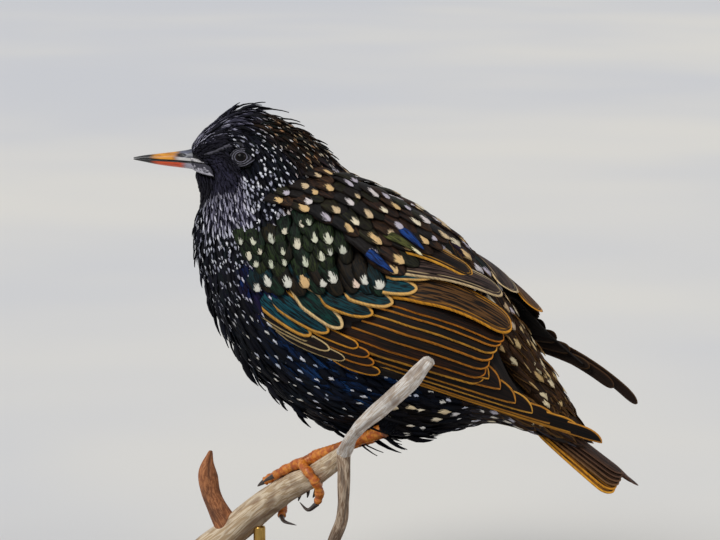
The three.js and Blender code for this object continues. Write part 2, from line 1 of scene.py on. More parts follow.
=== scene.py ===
# A common starling in spotted winter plumage: a still, life-size model on a cut length of branch.
# Shapes are worked out in millimetres and put into the meshes in metres. The body points along -X,
# its left side faces -Y, and the middle of the stand's underside is the origin.
import bpy
import numpy as np
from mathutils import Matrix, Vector


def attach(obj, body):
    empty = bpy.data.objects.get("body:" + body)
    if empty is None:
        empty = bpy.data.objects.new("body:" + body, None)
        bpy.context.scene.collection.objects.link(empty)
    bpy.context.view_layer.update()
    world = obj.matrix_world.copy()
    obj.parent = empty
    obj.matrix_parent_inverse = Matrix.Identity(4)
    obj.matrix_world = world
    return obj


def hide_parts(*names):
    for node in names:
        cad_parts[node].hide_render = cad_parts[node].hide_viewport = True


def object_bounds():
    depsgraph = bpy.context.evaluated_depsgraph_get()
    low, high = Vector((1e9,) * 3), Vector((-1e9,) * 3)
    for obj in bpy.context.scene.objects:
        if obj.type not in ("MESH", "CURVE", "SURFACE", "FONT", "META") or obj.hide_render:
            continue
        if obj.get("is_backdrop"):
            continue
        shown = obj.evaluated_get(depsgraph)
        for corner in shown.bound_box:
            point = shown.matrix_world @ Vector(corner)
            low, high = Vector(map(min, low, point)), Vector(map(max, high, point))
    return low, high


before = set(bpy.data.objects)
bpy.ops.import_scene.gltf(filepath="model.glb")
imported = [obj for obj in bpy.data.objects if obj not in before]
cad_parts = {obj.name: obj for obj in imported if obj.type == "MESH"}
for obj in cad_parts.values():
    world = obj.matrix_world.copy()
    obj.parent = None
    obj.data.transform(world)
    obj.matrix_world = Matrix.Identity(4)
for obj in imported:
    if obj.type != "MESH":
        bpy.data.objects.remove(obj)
frameBox = [list(corner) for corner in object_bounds()]
millimetre = 0.001
sideSigns = {"left": 1, "right": -1}


# Small sums that every piece uses

# Each vector divided by its length
def unit(vectors):
    return vectors / np.maximum(np.linalg.norm(vectors, axis=-1, keepdims=True), 1e-9)


# Nought below low and one above high, and between them 3t^2 - 2t^3
def ease(low, high, value):
    t = np.clip((np.asarray(value, float) - low) / (high - low), 0, 1)
    return t * t * (3 - 2 * t)


# Straight mixture: all a at share 0 and all b at share 1
def mixed(a, b, share):
    return np.asarray(a) * (1 - share) + np.asarray(b) * share


# Cubic between neighbouring rows, whose slope at a row is half the step between the rows beside it.
# Past the last row it runs on straight
def smoothRows(rows, place):
    rows = np.asarray(rows, float)
    place = np.asarray(place, float)
    held = np.clip(place, 0, len(rows) - 1)
    i = np.clip(np.floor(held).astype(int), 0, len(rows) - 2)
    t = (held - i)[..., None]
    before, start, end, after = (rows[np.clip(i + k, 0, len(rows) - 1)] for k in (-1, 0, 1, 2))
    value = ((2 * t**3 - 3 * t * t + 1) * start + (t**3 - 2 * t * t + t) * (end - before) / 2
             + (3 * t * t - 2 * t**3) * end + (t**3 - t * t) * (after - start) / 2)
    return value + (place - held)[..., None] * (rows[-1] - rows[-2])


# Centripetal cubic through the points of a route, each stretch lasting the root of its length
def alongRoute(route, share):
    route = np.asarray(route, float)
    stretches = len(route) - 1
    place = np.clip(share, 0, 1) * stretches
    i = np.clip(np.floor(place).astype(int), 0, stretches - 1)
    t = (place - i)[..., None]
    wider = np.vstack([2 * route[0] - route[1], route, 2 * route[-1] - route[-2]])
    a, b, c, d = (wider[i + k] for k in range(4))
    g, h, k = (np.linalg.norm(q - p, axis=-1, keepdims=True) ** 0.5 for p, q in ((a, b), (b, c), (c, d)))
    leaving = ((b - a) / g - (c - a) / (g + h) + (c - b) / h) * h
    arriving = ((c - b) / h - (d - b) / (h + k) + (d - c) / k) * h
    return ((2 * t**3 - 3 * t * t + 1) * b + (t**3 - 2 * t * t + t) * leaving
            + (3 * t * t - 2 * t**3) * c + (t**3 - t * t) * arriving)


# A colour written as on a screen, such as "c8801e", turned into the linear light that shaders use
def light(code):
    parts = np.array([int(code[k:k + 2], 16) / 255 for k in (0, 2, 4)])
    return np.where(parts <= 0.04045, parts / 12.92, ((parts + 0.055) / 1.055) ** 2.4)


# Sum of sine waves in random directions over points, between about -1 and 1
def ripples(points, waves, seed, shortest, longest):
    dice = np.random.default_rng(seed)
    directions = unit(dice.normal(size=(waves, 3)))
    lengths = np.exp(dice.uniform(np.log(shortest), np.log(longest), waves))
    phases = dice.uniform(0, 2 * np.pi, waves)
    return np.sin(points @ (directions / lengths[:, None] * 2 * np.pi).T + phases).sum(-1) / waves**0.5


# Angles of a full round in equal steps
def fullRound(count):
    return np.arange(count) / count * 2 * np.pi


# One value along a list of them, smoothly, at shares of its length
def alongValues(values, share):
    return smoothRows(np.array(values, float)[:, None], share * (len(values) - 1))[..., 0]


# Row and column numbers of a grid, one row after the other
def gridNumbers(rows, columns):
    return (v.ravel() for v in np.meshgrid(np.arange(rows), np.arange(columns), indexing="ij"))


# Rides on the one body, and stands for the CAD nodes that are named, which it hides
def settle(piece, slot, *nodes):
    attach(piece, "root")
    if nodes:
        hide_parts(*nodes)


# Puts points and faces into a new mesh object at the origin. The faces are turned over where the
# volume that they close, a sixth of the sum of each corner triple's product, comes out negative
def addPiece(name, points, faceSets, material, fields, slot=None, nodes=(), smooth=True):
    volume = 0.0
    for faces, _ in faceSets:
        a = points[faces[:, 0]]
        for k in range(1, faces.shape[1] - 1):
            volume += (a * np.cross(points[faces[:, k]], points[faces[:, k + 1]])).sum()
    if volume < 0:
        faceSets = [(faces[:, ::-1], {n: m[:, ::-1] for n, m in maps.items()}) for faces, maps in faceSets]
    corners = np.concatenate([faces.ravel() for faces, _ in faceSets])
    sizes = np.concatenate([np.full(len(faces), faces.shape[1]) for faces, _ in faceSets])
    mesh = bpy.data.meshes.new(name)
    mesh.vertices.add(len(points))
    mesh.vertices.foreach_set("co", (points * millimetre).astype(np.float32).ravel())
    mesh.loops.add(len(corners))
    mesh.loops.foreach_set("vertex_index", corners.astype(np.int32))
    mesh.polygons.add(len(sizes))
    mesh.polygons.foreach_set("loop_start", np.concatenate([[0], np.cumsum(sizes)[:-1]]).astype(np.int32))
    mesh.polygons.foreach_set("loop_total", sizes.astype(np.int32))
    mesh.polygons.foreach_set("use_smooth", np.full(len(sizes), smooth))
    for mapName in faceSets[0][1]:
        layer = mesh.uv_layers.new(name=mapName)
        places = np.concatenate([maps[mapName].reshape(-1, 2) for _, maps in faceSets])
        layer.data.foreach_set("uv", places.astype(np.float32).ravel())
    for fieldName, values in fields.items():
        values = values.astype(np.float32)
        if values.ndim == 1:
            mesh.attributes.new(fieldName, "FLOAT", "POINT").data.foreach_set("value", values)
        else:
            rows = np.concatenate([values, np.ones((len(values), 1), np.float32)], 1)
            mesh.attributes.new(fieldName, "FLOAT_COLOR", "POINT").data.foreach_set("color", rows.ravel())
    mesh.update(calc_edges=True)
    mesh.validate()
    mesh.materials.append(material)
    piece = bpy.data.objects.new(name, mesh)
    bpy.context.scene.collection.objects.link(piece)
    if slot:
        settle(piece, slot, *nodes)
    return piece


# Quads between neighbouring rings of points, and each corner's place on a map from 0 to 1
# both ways, counted past the seam
def ringFaces(rings, sides):
    i, j = gridNumbers(rings - 1, sides)
    k = (j + 1) % sides
    quads = np.stack([i * sides + j, i * sides + k, (i + 1) * sides + k, (i + 1) * sides + j], 1)
    corners = np.stack([np.stack(c, 1) for c in ((j, i), (j + 1, i), (j + 1, i + 1), (j, i + 1))], 1)
    return quads, corners / [sides, rings - 1]


# Values given for all of a grid of points, for its rings or for each point, spread over its points
def spreadOver(points, fields):
    spread = {}
    for key, values in fields.items():
        colour = np.shape(values)[2:]
        spread[key] = np.broadcast_to(values, points.shape[:2] + colour).reshape(-1, *colour)
    return spread


# A closed piece from rings of equally many points, with a flat face at both ends
def ringPiece(name, rings, material, slot=None, nodes=(), **fields):
    count, sides = rings.shape[:2]
    quads, corners = ringFaces(count, sides)
    ends = np.stack([np.arange(sides)[::-1], (count - 1) * sides + np.arange(sides)])
    past = np.arange(sides) / sides
    endCorners = np.stack([np.stack([past[::-1], np.zeros(sides)], 1), np.stack([past, np.ones(sides)], 1)])
    faceSets = [(quads, {"OFBake": corners}), (ends, {"OFBake": endCorners})]
    return addPiece(name, rings.reshape(-1, 3), faceSets, material, spreadOver(rings, fields), slot, nodes)


# Closed ring of sections: points[i, j] is point j of the section at turn i
def loopPiece(name, points, material, slot, **fields):
    rings, sides = points.shape[:2]
    i, j = gridNumbers(rings, sides)
    corner = ((i, j), (i, j + 1), (i + 1, j + 1), (i + 1, j))
    quads = np.stack([a % rings * sides + b % sides for a, b in corner], 1)
    places = np.stack([np.stack([b / sides, a / rings], 1) for a, b in corner], 1)
    faceSets = [(quads, {"OFBake": places})]
    return addPiece(name, points.reshape(-1, 3), faceSets, material, spreadOver(points, fields), slot)


# Round tube along a route: at each share of it a ring of the given radius, square to its way
def tubeRings(centres, radii, sides, upwards, swell=None):
    ways = unit(np.gradient(centres, axis=0))
    across = unit(np.cross(ways, np.asarray(upwards, float)))
    over = np.cross(across, ways)
    angle = fullRound(sides)
    reach = np.asarray(radii, float)[:, None] * (np.ones(sides) if swell is None else swell)
    return centres[:, None] + reach[..., None] * (over[:, None] * np.cos(angle)[None, :, None]
                                                  + across[:, None] * np.sin(angle)[None, :, None])


# One material in the making: each method adds a shader node and gives its output. A colour may be
# written as its code
class Paint:
    def __init__(self, name, **constants):
        self.material = bpy.data.materials.new(name)
        self.material.use_nodes = True
        self.tree = self.material.node_tree
        self.shader = self.tree.nodes["Principled BSDF"]
        words = {"coat": "Coat Weight", "coatRoughness": "Coat Roughness", "specular": "Specular IOR Level"}
        for word, value in constants.items():
            self.shader.inputs[words.get(word, word.title())].default_value = value

    def node(self, kind, inputs, **settings):
        made = self.tree.nodes.new("ShaderNode" + kind)
        for key, value in settings.items():
            setattr(made, key, value)
        for key, value in inputs.items():
            if isinstance(value, bpy.types.NodeSocket):
                self.tree.links.new(value, made.inputs[key])
            else:
                made.inputs[key].default_value = value
        return made

    def read(self, name, output="Fac"):
        return self.node("Attribute", {}, attribute_name=name).outputs[output]

    def objectPlace(self):
        return self.node("TexCoord", {}).outputs["Object"]

    def mapPlace(self, name):
        return self.node("UVMap", {}, uv_map=name).outputs[0]

    def packed(self, *values):
        return self.node("CombineXYZ", dict(enumerate(values))).outputs[0]

    def sums(self, operation, *values):
        return self.node("Math", dict(enumerate(values)), operation=operation).outputs[0]

    def plus(self, a, b):
        return self.sums("ADD", a, b)

    def minus(self, a, b):
        return self.sums("SUBTRACT", a, b)

    def times(self, a, b):
        return self.sums("MULTIPLY", a, b)

    def easing(self, value, low, high):
        inputs = {"Value": value, "From Min": low, "From Max": high}
        return self.node("MapRange", inputs, interpolation_type="SMOOTHSTEP").outputs[0]

    def blended(self, share, a, b):
        a, b = ((*light(tone), 1) if isinstance(tone, str) else tone for tone in (a, b))
        return self.node("Mix", {0: share, 6: a, 7: b}, data_type="RGBA").outputs[2]

    def grains(self, place, scale, detail=3.0, distortion=0.0, stretch=None):
        if stretch:
            place = self.node("Mapping", {"Vector": place, "Scale": stretch}).outputs[0]
        inputs = {"Vector": place, "Scale": scale, "Detail": detail, "Distortion": distortion}
        return self.node("TexNoise", inputs).outputs[0]

    # the finished material: its colour, and a bump of a strength and a distance in mm from a height
    def painted(self, colour, height=None, strength=0.5, distance=0.3):
        self.tree.links.new(colour, self.shader.inputs["Base Color"])
        if height:
            inputs = {"Height": height, "Strength": strength, "Distance": distance * millimetre}
            self.tree.links.new(self.node("Bump", inputs).outputs[0], self.shader.inputs["Normal"])
        return self.material


# Body: the sections follow the solid's, a little inside it on the forehead and the breast. Each row is
# how far it shares the head's turn, its highest point x z, its lowest point x z, and half its width
body = {
    "sections": [
        [1, -57.6, 150.6, -57.3, 144.9, 3.2],
        [1, -51.9, 157.6, -54.9, 140.4, 7.8],
        [1, -40.6, 163.2, -53.4, 133.0, 10.9],
        [0.85, -27.5, 159.0, -55.2, 122.9, 14.4],
        [0.5, -16.1, 151.4, -53.6, 109.5, 21.5],
        [0.15, -3.3, 141.2, -46.9, 92.4, 27.0],
        [0, 15.0, 134.6, -33.3, 74.0, 28.4],
        [0, 33.1, 123.4, -9.6, 60.0, 26.0],
        [0, 48.1, 106.6, 20.2, 58.0, 21.0],
        [0, 59.4, 88.4, 45.4, 64.5, 16.0],
        [0, 71.0, 70.6, 63.8, 61.4, 10.5],
    ],
    "headTurn": 20, "pivotX": -31.4, "coatDepth": 1.7, "rings": 150, "sides": 96, "skinShade": 0.6,
}
lastPlace = len(body["sections"]) - 1


# A point of the head's own frame, x, left and height, turned about the neck by share of the turn
def turned(x, left, height, share=1.0):
    turn = np.radians(body["headTurn"]) * share
    x, left, height, turn = np.broadcast_arrays(x, left, height, turn)
    along = x - body["pivotX"]
    return np.stack([body["pivotX"] + along * np.cos(turn) + left * np.sin(turn),
                     along * np.sin(turn) - left * np.cos(turn), height], -1)


# Slanted ellipse through a section's highest and lowest points, at an angle from the top to the left,
# in the head's own frame: x, left, height and the share of the head's turn
def sectionPoint(place, angle):
    place, angle = np.broadcast_arrays(np.asarray(place, float), np.asarray(angle, float))
    share, topX, topZ, lowX, lowZ, half = np.moveaxis(smoothRows(body["sections"], place), -1, 0)
    x = (topX + lowX) / 2 + np.cos(angle) * (topX - lowX) / 2
    z = (topZ + lowZ) / 2 + np.cos(angle) * (topZ - lowZ) / 2
    return x, half * np.sin(angle), z, share


def skinPoint(place, angle):
    return turned(*sectionPoint(place, angle))


# Square to the skin: cross product of its steps round the section and along the body
def skinNormal(place, angle):
    step = 0.02
    at = np.clip(place, step, lastPlace - step)
    alongSkin = skinPoint(at + step, angle) - skinPoint(at - step, angle)
    roundSkin = skinPoint(at, angle + step) - skinPoint(at, angle - step)
    return unit(np.cross(roundSkin, alongSkin))


def onSkin(place, angle, lift):
    return skinPoint(place, angle) + skinNormal(place, angle) * np.asarray(lift)[..., None]


# Depth of the coat over the skin, thin on the face
def coatDepth(place):
    return body["coatDepth"] * mixed(0.25, 1, ease(0.2, 2.6, place))


# Surface that the folded wings lie on: x, top z, bottom z, half width. The far wing is folded
# narrower: x, how far its angles are raised there, and how much of the way they close to its level.
# Near the back it also lies deeper by the drop at x
wingSurface = {
    "rows": [[-42, 150, 72, 22], [-25, 148, 68, 28], [-5, 145, 60, 31], [15, 135.5, 57, 32.2],
             [35, 124.5, 62, 31], [50, 110, 63, 27.5], [65, 96, 60, 23], [80, 84, 57, 19], [95, 74, 54, 16]],
    "farFold": [[25, 0, 0], [38, 5, 0.15], [55, 12, 0.6], [62, 16, 0.82], [90, 40, 0.9]], "farLevel": 42,
    "farDrop": [[-10, 2.4], [1, 2.8], [12, 1.8], [21, 2.0], [29, 2.7], [36, 4.0], [44, 4.2], [52, 2.0]],
}


# Angle after the far wing's fold: the rise at x is added, and what is still short of the level
# comes nearer to it by a share
def farFolded(x, angle):
    fold = np.array(wingSurface["farFold"], float)
    angle = angle + np.interp(x, fold[:, 0], fold[:, 1])
    return angle + np.maximum(0, wingSurface["farLevel"] - angle) * np.interp(x, fold[:, 0], fold[:, 2])


# Ellipse round the body at x, at an angle in degrees up from its side, lifted out. side is 1 for the left
def wingPoint(x, angle, lift, side):
    x, angle, lift = np.broadcast_arrays(*(np.asarray(v, float) for v in (x, angle, lift)))
    if side < 0:
        drop = np.array(wingSurface["farDrop"], float)
        lift = lift - np.interp(x, drop[:, 0], drop[:, 1]) * ease(30, 62, angle)
        angle = farFolded(x, angle)
    rows = np.array(wingSurface["rows"], float)
    place = np.interp(x, rows[:, 0], np.arange(len(rows)))
    top, bottom, half = np.moveaxis(smoothRows(rows[:, 1:], place), -1, 0)
    turn = np.radians(angle)
    return np.stack([x, -side * (half + lift) * np.cos(turn),
                     (top + bottom) / 2 + ((top - bottom) / 2 + lift) * np.sin(turn)], -1)


def wingNormal(x, angle, side):
    alongWing = wingPoint(x + 2, angle, 0, side) - wingPoint(x - 2, angle, 0, side)
    roundWing = wingPoint(x, angle + 2, 0, side) - wingPoint(x, angle - 2, 0, side)
    return unit(np.cross(alongWing, roundWing)) * side


# Feathers. A vane is a closed, thin leaf. Its middle line is the parabola through root, middle and
# tip, and its width follows an outline along it

# Half width as a share of the widest: it opens from the quill and then closes. A blunt feather closes
# over the last share of its length, as the root of 1 - c to the power of its fullness, and a pointed
# one in a curve down to a point
def outline(t, pointed, closing, fullness):
    t, pointed, closing = t[None, :], pointed[:, None], closing[:, None]
    opening = np.minimum(1, 0.5 + 1.5 * t)
    blunt = np.sqrt(np.maximum(0.004, 1 - np.clip((t - 1) / closing + 1, 0, 1) ** fullness))
    sharp = np.maximum(0.03, 1 - np.clip((t - 0.3) / 0.7, 0, 1) ** 1.35)
    return opening * mixed(blunt, sharp, pointed)


# Parabola through three points, at shares u of it
def arched(three, u):
    root, middle, tip = (three[:, k, None] for k in range(3))
    return root * (1 - u) * (1 - 2 * u) + middle * 4 * u * (1 - u) + tip * u * (2 * u - 1)


# Points of many vanes at once. Rings of points go over the top from edge to edge and back under it;
# the middle is higher than the edges by camber times the square of the distance from it. A skewed
# vane closes towards one edge, which runs on straight
def vanes(stops, ups, halfWidth, pointed, form):
    steps, across = form["steps"], form["across"]
    t = 1 - (1 - np.linspace(0, 1, steps + 1)) ** form.get("crowding", 1.3)
    top = np.linspace(-1, 1, across + 1)
    s = np.concatenate([top, top[-2:0:-1]])
    face = np.concatenate([np.ones(across + 1), -np.ones(across - 1)])
    u = t[None, :, None]
    centre = arched(stops, u)
    slope = (stops[:, 0, None] * (4 * u - 3) + stops[:, 1, None] * (4 - 8 * u)
             + stops[:, 2, None] * (4 * u - 1))
    along = unit(slope)
    up = arched(ups, u)
    up = unit(up - along * (up * along).sum(-1, keepdims=True))
    side = np.cross(along, up)
    tilt = np.radians(np.broadcast_to(form.get("tilt", 0), (len(stops),)))[:, None, None]
    side, up = side * np.cos(tilt) - up * np.sin(tilt), up * np.cos(tilt) + side * np.sin(tilt)
    length = np.linalg.norm(stops[:, 2] - stops[:, 0], axis=-1)
    closing = np.clip(form.get("rounded", 1.5) * halfWidth / length, 0.08, 0.5)
    wide = halfWidth[:, None] * outline(t, pointed, closing, form.get("fullness", 2.8))
    skew = form.get("skew", 0)
    flat = wide[..., None] * s + skew * (halfWidth[:, None] - wide)[..., None]
    deep = form["thick"] / 2 * np.sqrt(np.clip(wide / halfWidth[:, None], 0.2, 1))[..., None]
    height = face * deep * (1 - s * s) - form["camber"] * flat**2
    points = centre[:, :, None] + side[:, :, None] * flat[..., None] + up[:, :, None] * height[..., None]
    falling = np.gradient(wide, t, axis=1) / np.maximum(np.linalg.norm(slope, axis=-1), 1e-6)
    falling = falling[..., None] * (1 - skew * np.sign(s))
    fromEdge = wide[..., None] * (1 - np.abs(s)) / np.sqrt(1 + falling**2)
    local = np.stack(np.broadcast_arrays(0.5 + 0.5 * s[None, None, :], t[None, :, None], fromEdge), -1)
    return points, local


# One object from many vanes. rootMap is each root's place on the unwrap that the bake uses, and
# patch how wide a vane is there
def featherPiece(name, stops, ups, halfWidth, pointed, form, rootMap, marks, material, slot,
                 nodes=(), patch=0.003):
    halfWidth, pointed = (np.broadcast_to(v, len(stops)).astype(float) for v in (halfWidth, pointed))
    points, local = vanes(stops, ups, halfWidth, pointed, form)
    count, rings, sides = points.shape[:3]
    first = np.arange(count)[:, None, None] * rings * sides
    quads = (first + ringFaces(rings, sides)[0][None]).reshape(-1, 4)
    ends = first + np.stack([np.arange(sides)[::-1], (rings - 1) * sides + np.arange(sides)])[None]
    ends = ends.reshape(-1, sides)
    vane = local[..., :2].reshape(-1, 2)
    spread = np.repeat(rootMap, rings * sides, axis=0) + (vane - 0.5) * patch
    maps = [{"OFBake": spread[faces], "vane": vane[faces]} for faces in (quads, ends)]
    fields = {"fromEdge": local[..., 2].ravel()}
    fields.update({key: np.repeat(values, rings * sides, axis=0) for key, values in marks.items()})
    faceSets = [(quads, maps[0]), (ends, maps[1])]
    return addPiece(name, points.reshape(-1, 3), faceSets, material, fields, slot, nodes)


# Feather finish. Along the vane run fine streaks; the sheen's colour shows through them. The tip
# carries a spot that widens towards it, and the edge a band, each as large as the feather's marks say
def plumageMaterial(name, streak=(7.0, 1.6), edgeSoftness=0.25, rim=0.12, lined=0.0, **constants):
    paint = Paint(name, **constants)
    plus, minus, times, easing, blended = paint.plus, paint.minus, paint.times, paint.easing, paint.blended
    vane = paint.node("SeparateXYZ", {0: paint.mapPlace("vane")}).outputs
    spotLength, edgeWidth, amount = paint.node("SeparateColor", {0: paint.read("marks", "Color")}).outputs
    tone, sheenTone, spotTone, edgeTone = (paint.read(key, "Color")
                                           for key in ("tone", "sheenTone", "spotTone", "edgeTone"))
    fromEdge, chance, spotWide = (paint.read(key) for key in ("fromEdge", "chance", "spotWide"))
    across = paint.sums("ABSOLUTE", minus(vane[0], 0.5))
    # barbs leave the shaft slantwise, so the streaks follow along minus a share of across
    lean = minus(vane[1], times(across, 0.35))
    place = paint.packed(times(vane[0], streak[0]), times(lean, streak[1]), times(chance, 60.0))
    streaks = paint.grains(place, 2.2, 4.0, 0.4)
    place = paint.packed(times(across, 3.0), times(lean, 60.0), times(chance, 90.0))
    barbs = paint.grains(place, 1.0, 1.0)
    colour = blended(times(easing(streaks, 0.44, 0.57), amount), tone, sheenTone)
    # a dark shaft in the middle, and a dark rim along the edge that is painted shade, as in the gaps between
    # feathers
    colour = blended(times(easing(across, 0.045, 0.0), 0.45), colour, (0.006, 0.005, 0.005, 1))
    colour = blended(times(easing(fromEdge, rim, 0.0), 0.75), colour, (0.004, 0.003, 0.003, 1))
    # where the finish is lined, a dull line runs inside a broad edge band, a millimetre further in
    inner = paint.sums("ABSOLUTE", minus(minus(fromEdge, edgeWidth), 1.0))
    inner = times(easing(inner, 0.3, 0.08), easing(edgeWidth, 0.68, 0.78))
    inner = times(times(inner, lined), easing(streaks, 0.38, 0.55))
    colour = blended(inner, colour, blended(0.55, edgeTone, (0.02, 0.008, 0.004, 1)))
    ragged = minus(streaks, 0.5)
    band = plus(fromEdge, times(ragged, 0.5))
    edge = easing(band, plus(edgeWidth, edgeSoftness), minus(edgeWidth, edgeSoftness))
    edge = times(edge, easing(edgeWidth, 0.02, 0.15))
    worn = blended(0.4, edgeTone, (0.05, 0.02, 0.01, 1))
    colour = blended(edge, colour, blended(easing(barbs, 0.35, 0.7), edgeTone, worn))
    # share of the spot's length at a point, and from it the room that the spot has to either side
    longest = paint.sums("MAXIMUM", spotLength, 0.01)
    inSpot = paint.sums("DIVIDE", minus(vane[1], minus(1.0, spotLength)), longest)
    inSpot = plus(inSpot, times(ragged, 0.5))
    widening = plus(times(plus(0.02, times(inSpot, 0.62)), spotWide), times(ragged, 0.7))
    spot = times(easing(minus(widening, across), -0.03, 0.03), easing(inSpot, -0.05, 0.12))
    spot = times(spot, easing(spotLength, 0.02, 0.06))
    worn = blended(0.3, spotTone, (0.2, 0.17, 0.14, 1))
    colour = blended(spot, colour, blended(easing(barbs, 0.3, 0.75), spotTone, worn))
    rough = plus(times(streaks, 0.35), constants["roughness"] - 0.17)
    paint.tree.links.new(rough, paint.shader.inputs["Roughness"])
    return paint.painted(colour, plus(times(barbs, 0.6), streaks), 0.5, 0.25)


print("frame loaded,", len(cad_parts), "nodes")

# Coat of the body. Rows give, at a place along the body, a feather's length, width, how far its
# tip stands off and how pointed it is, for the top, the side and the underside. Each layer has its
# rows' step as a share of the length, the feathers' step as a share of the width, and its first and
# last place
coat = {
    "top": [[0, 2.2, 1.0, 0.0, 0.6], [0.6, 4.4, 1.3, 0.0, 0.8], [1.3, 7.0, 1.7, 0.1, 0.9],
            [2.0, 8.5, 2.1, 0.8, 0.9], [2.9, 8.5, 2.2, 0.8, 0.9], [3.6, 9.0, 2.4, 0.8, 0.9],
            [4.4, 11.0, 3.6, 0.1, 0.7], [6.0, 14.0, 6.4, 0.1, 0.4], [8.0, 14.5, 6.2, 0.2, 0.4],
            [9.0, 13.0, 5.0, 0.7, 0.5], [10, 11.0, 4.4, 0.7, 0.6]],
    "side": [[0, 1.8, 0.7, 0.1, 0.6], [1.0, 3.4, 0.8, 0.12, 0.8], [2.0, 4.2, 0.9, 0.15, 0.8],
             [3.0, 5.6, 1.2, 0.5, 0.7], [4.0, 8.0, 1.9, 0.8, 0.7], [5.0, 11.0, 3.2, 0.9, 0.7],
             [6.0, 13.0, 4.2, 1.0, 0.7], [8.0, 14.0, 5.2, 1.1, 0.6], [10, 12.0, 4.6, 1.2, 0.7]],
    "low": [[0, 1.6, 0.8, 0.1, 0.4], [1.0, 3.4, 1.1, 0.4, 0.8], [2.0, 5.6, 1.5, 0.8, 0.9],
            [2.8, 8.0, 2.0, 1.2, 0.9], [3.5, 9.5, 2.3, 0.2, 0.9], [4.0, 10.5, 2.5, -0.3, 0.9],
            [5.0, 11.5, 3.0, -0.4, 0.85], [6.0, 12.5, 3.5, -0.3, 0.8], [7.0, 13.5, 3.8, 0.4, 0.8],
            [8.0, 13.0, 4.2, 0.1, 0.8], [9.0, 13.0, 4.6, 0.0, 0.7], [10, 12.0, 4.4, 0.3, 0.7]],
    "layers": {"dense": [0.19, 0.52, 0.04, 9.95], "speckled": [0.18, 0.85, 0.04, 4.7],
               "spotted": [0.42, 1.15, 4.75, 9.4]},
    "seed": 5, "yaw": 0.13, "perPiece": 4200,
    "form": {"steps": 5, "across": 2, "thick": 0.22, "camber": 0.06},
}
# Lances that stand out of the outline, on the top and on the underside: between which places and which
# angles in degrees they grow, and at a place their length, width and how far the tip stands off
fringes = {
    "crest": {"from": 0.9, "to": 4.2, "angles": [0, 64], "step": [0.36, 2.2], "rows": [
        [0.9, 6.0, 1.3, 1.0], [1.3, 7.5, 1.5, 2.0], [1.8, 9.0, 1.8, 3.6], [2.4, 8.0, 1.7, 2.7],
        [3.2, 8.0, 1.8, 2.9], [4.2, 9.0, 2.2, 1.3]]},
    "breast": {"from": 1.7, "to": 8.6, "angles": [122, 180], "step": [0.42, 2.4], "rows": [
        [1.7, 6.0, 1.6, 1.4], [2.6, 7.5, 1.8, 2.6], [3.1, 8.0, 2.0, 2.2], [3.6, 8.5, 2.1, 1.7],
        [4.2, 9.0, 2.2, 1.6], [5.0, 9.0, 2.3, 1.9], [6.0, 9.5, 2.4, 2.1], [6.8, 11.0, 2.6, 2.6],
        [7.1, 13.0, 2.7, 5.2], [7.45, 13.0, 2.7, 6.4], [7.7, 11.5, 2.7, 3.4], [7.95, 10.0, 2.6, 1.4],
        [8.6, 9.0, 2.6, 0.8]]},
    "rump": {"from": 8.2, "to": 9.2, "angles": [0, 62], "step": [0.6, 1.8], "rows": [
        [8.2, 11.0, 3.6, 1.4], [9.2, 11.0, 3.6, 2.4]]},
}
# Bare places of the face, in the head's own frame: x, upper edge and lower edge
bareFace = [[-60, 151.2, 143.4], [-57.4, 149.6, 143.4], [-54.8, 148.3, 142.9], [-52.3, 147.3, 142.3],
            [-50.4, 145.0, 142.0], [-49.9, 142.4, 142.0]]
# Eye: its place and angle on the skin, the ball's radius, how deep its middle lies, the bare ring round
# it and the bulge at its front; then how low the lids' opening is against its length, the reach and
# radius of their rim, the inner and outer reach of the lids and how far their corners draw out, and the
# height of the lids in the middle, which falls by a share of the distance squared
eye = {
    "section": 2.6, "angle": 73, "radius": 3.1, "sunk": 2.1, "bare": 3.3, "bulge": 0.18, "opening": 0.84,
    "rim": 2.0, "rimRadius": 0.17, "inner": 1.9, "outer": 3.65, "rearCorner": 1.0, "frontCorner": 0.25,
    "peak": 2.74, "falling": 0.065,
}
# Core of a folded wing, under its feathers: x, low and high angle, and the heights of its outer and
# inner surface over the wing's
wingCore = [[-34, 0, 9, -1.2, -3], [-28, -4, 27, -1, -6], [-15, -11, 42, -1, -7], [0, -16, 50, -1, -8],
            [15, -21, 56, -1, -8], [30, -27, 60, -1, -7], [44, -31, 58, -1, -4.5], [53, -29, 30, -1.2, -3],
            [62, -26, -4, -1.3, -2.4], [72, -22, -12, -1.3, -2]]


# Values of the three belts at a place, mixed by the angle from the top
def coatSizes(place, angle):
    belts = []
    for belt in ("top", "side", "low"):
        rows = np.array(coat[belt], float)
        belts.append(np.stack([np.interp(place, rows[:, 0], rows[:, k]) for k in range(1, 5)], -1))
    turn = np.abs(angle)
    upper = ease(np.radians(85), np.radians(40), turn)[..., None]
    lower = ease(np.radians(95), np.radians(140), turn)[..., None]
    return belts[1] * (1 - upper - lower) + belts[0] * upper + belts[2] * lower


# Whether a point lies well under a folded wing: its angle on the wing's ellipse is inside the core
def underWing(points):
    rows, core = np.array(wingSurface["rows"], float), np.array(wingCore, float)
    x, y, z = np.moveaxis(points, -1, 0)
    top, bottom, half = (np.interp(x, rows[:, 0], rows[:, k]) for k in (1, 2, 3))
    angle = np.degrees(np.arctan2((z - (top + bottom) / 2) / ((top - bottom) / 2), np.abs(y) / half))
    low, high = (np.interp(x, core[:, 0], core[:, k]) for k in (1, 2))
    low, high = (np.where(y > 0, farFolded(x, edge), edge) for edge in (low, high))
    return (x > -22) & (x < 60) & (angle > low + 9) & (angle < high - 9)


eyeCentres = {}
for side in sideSigns.values():
    eyeTurn = np.radians(eye["angle"]) * side
    eyeOut = skinNormal(eye["section"], eyeTurn)
    eyeCentres[side] = (skinPoint(eye["section"], eyeTurn) - eyeOut * eye["sunk"], eyeOut)


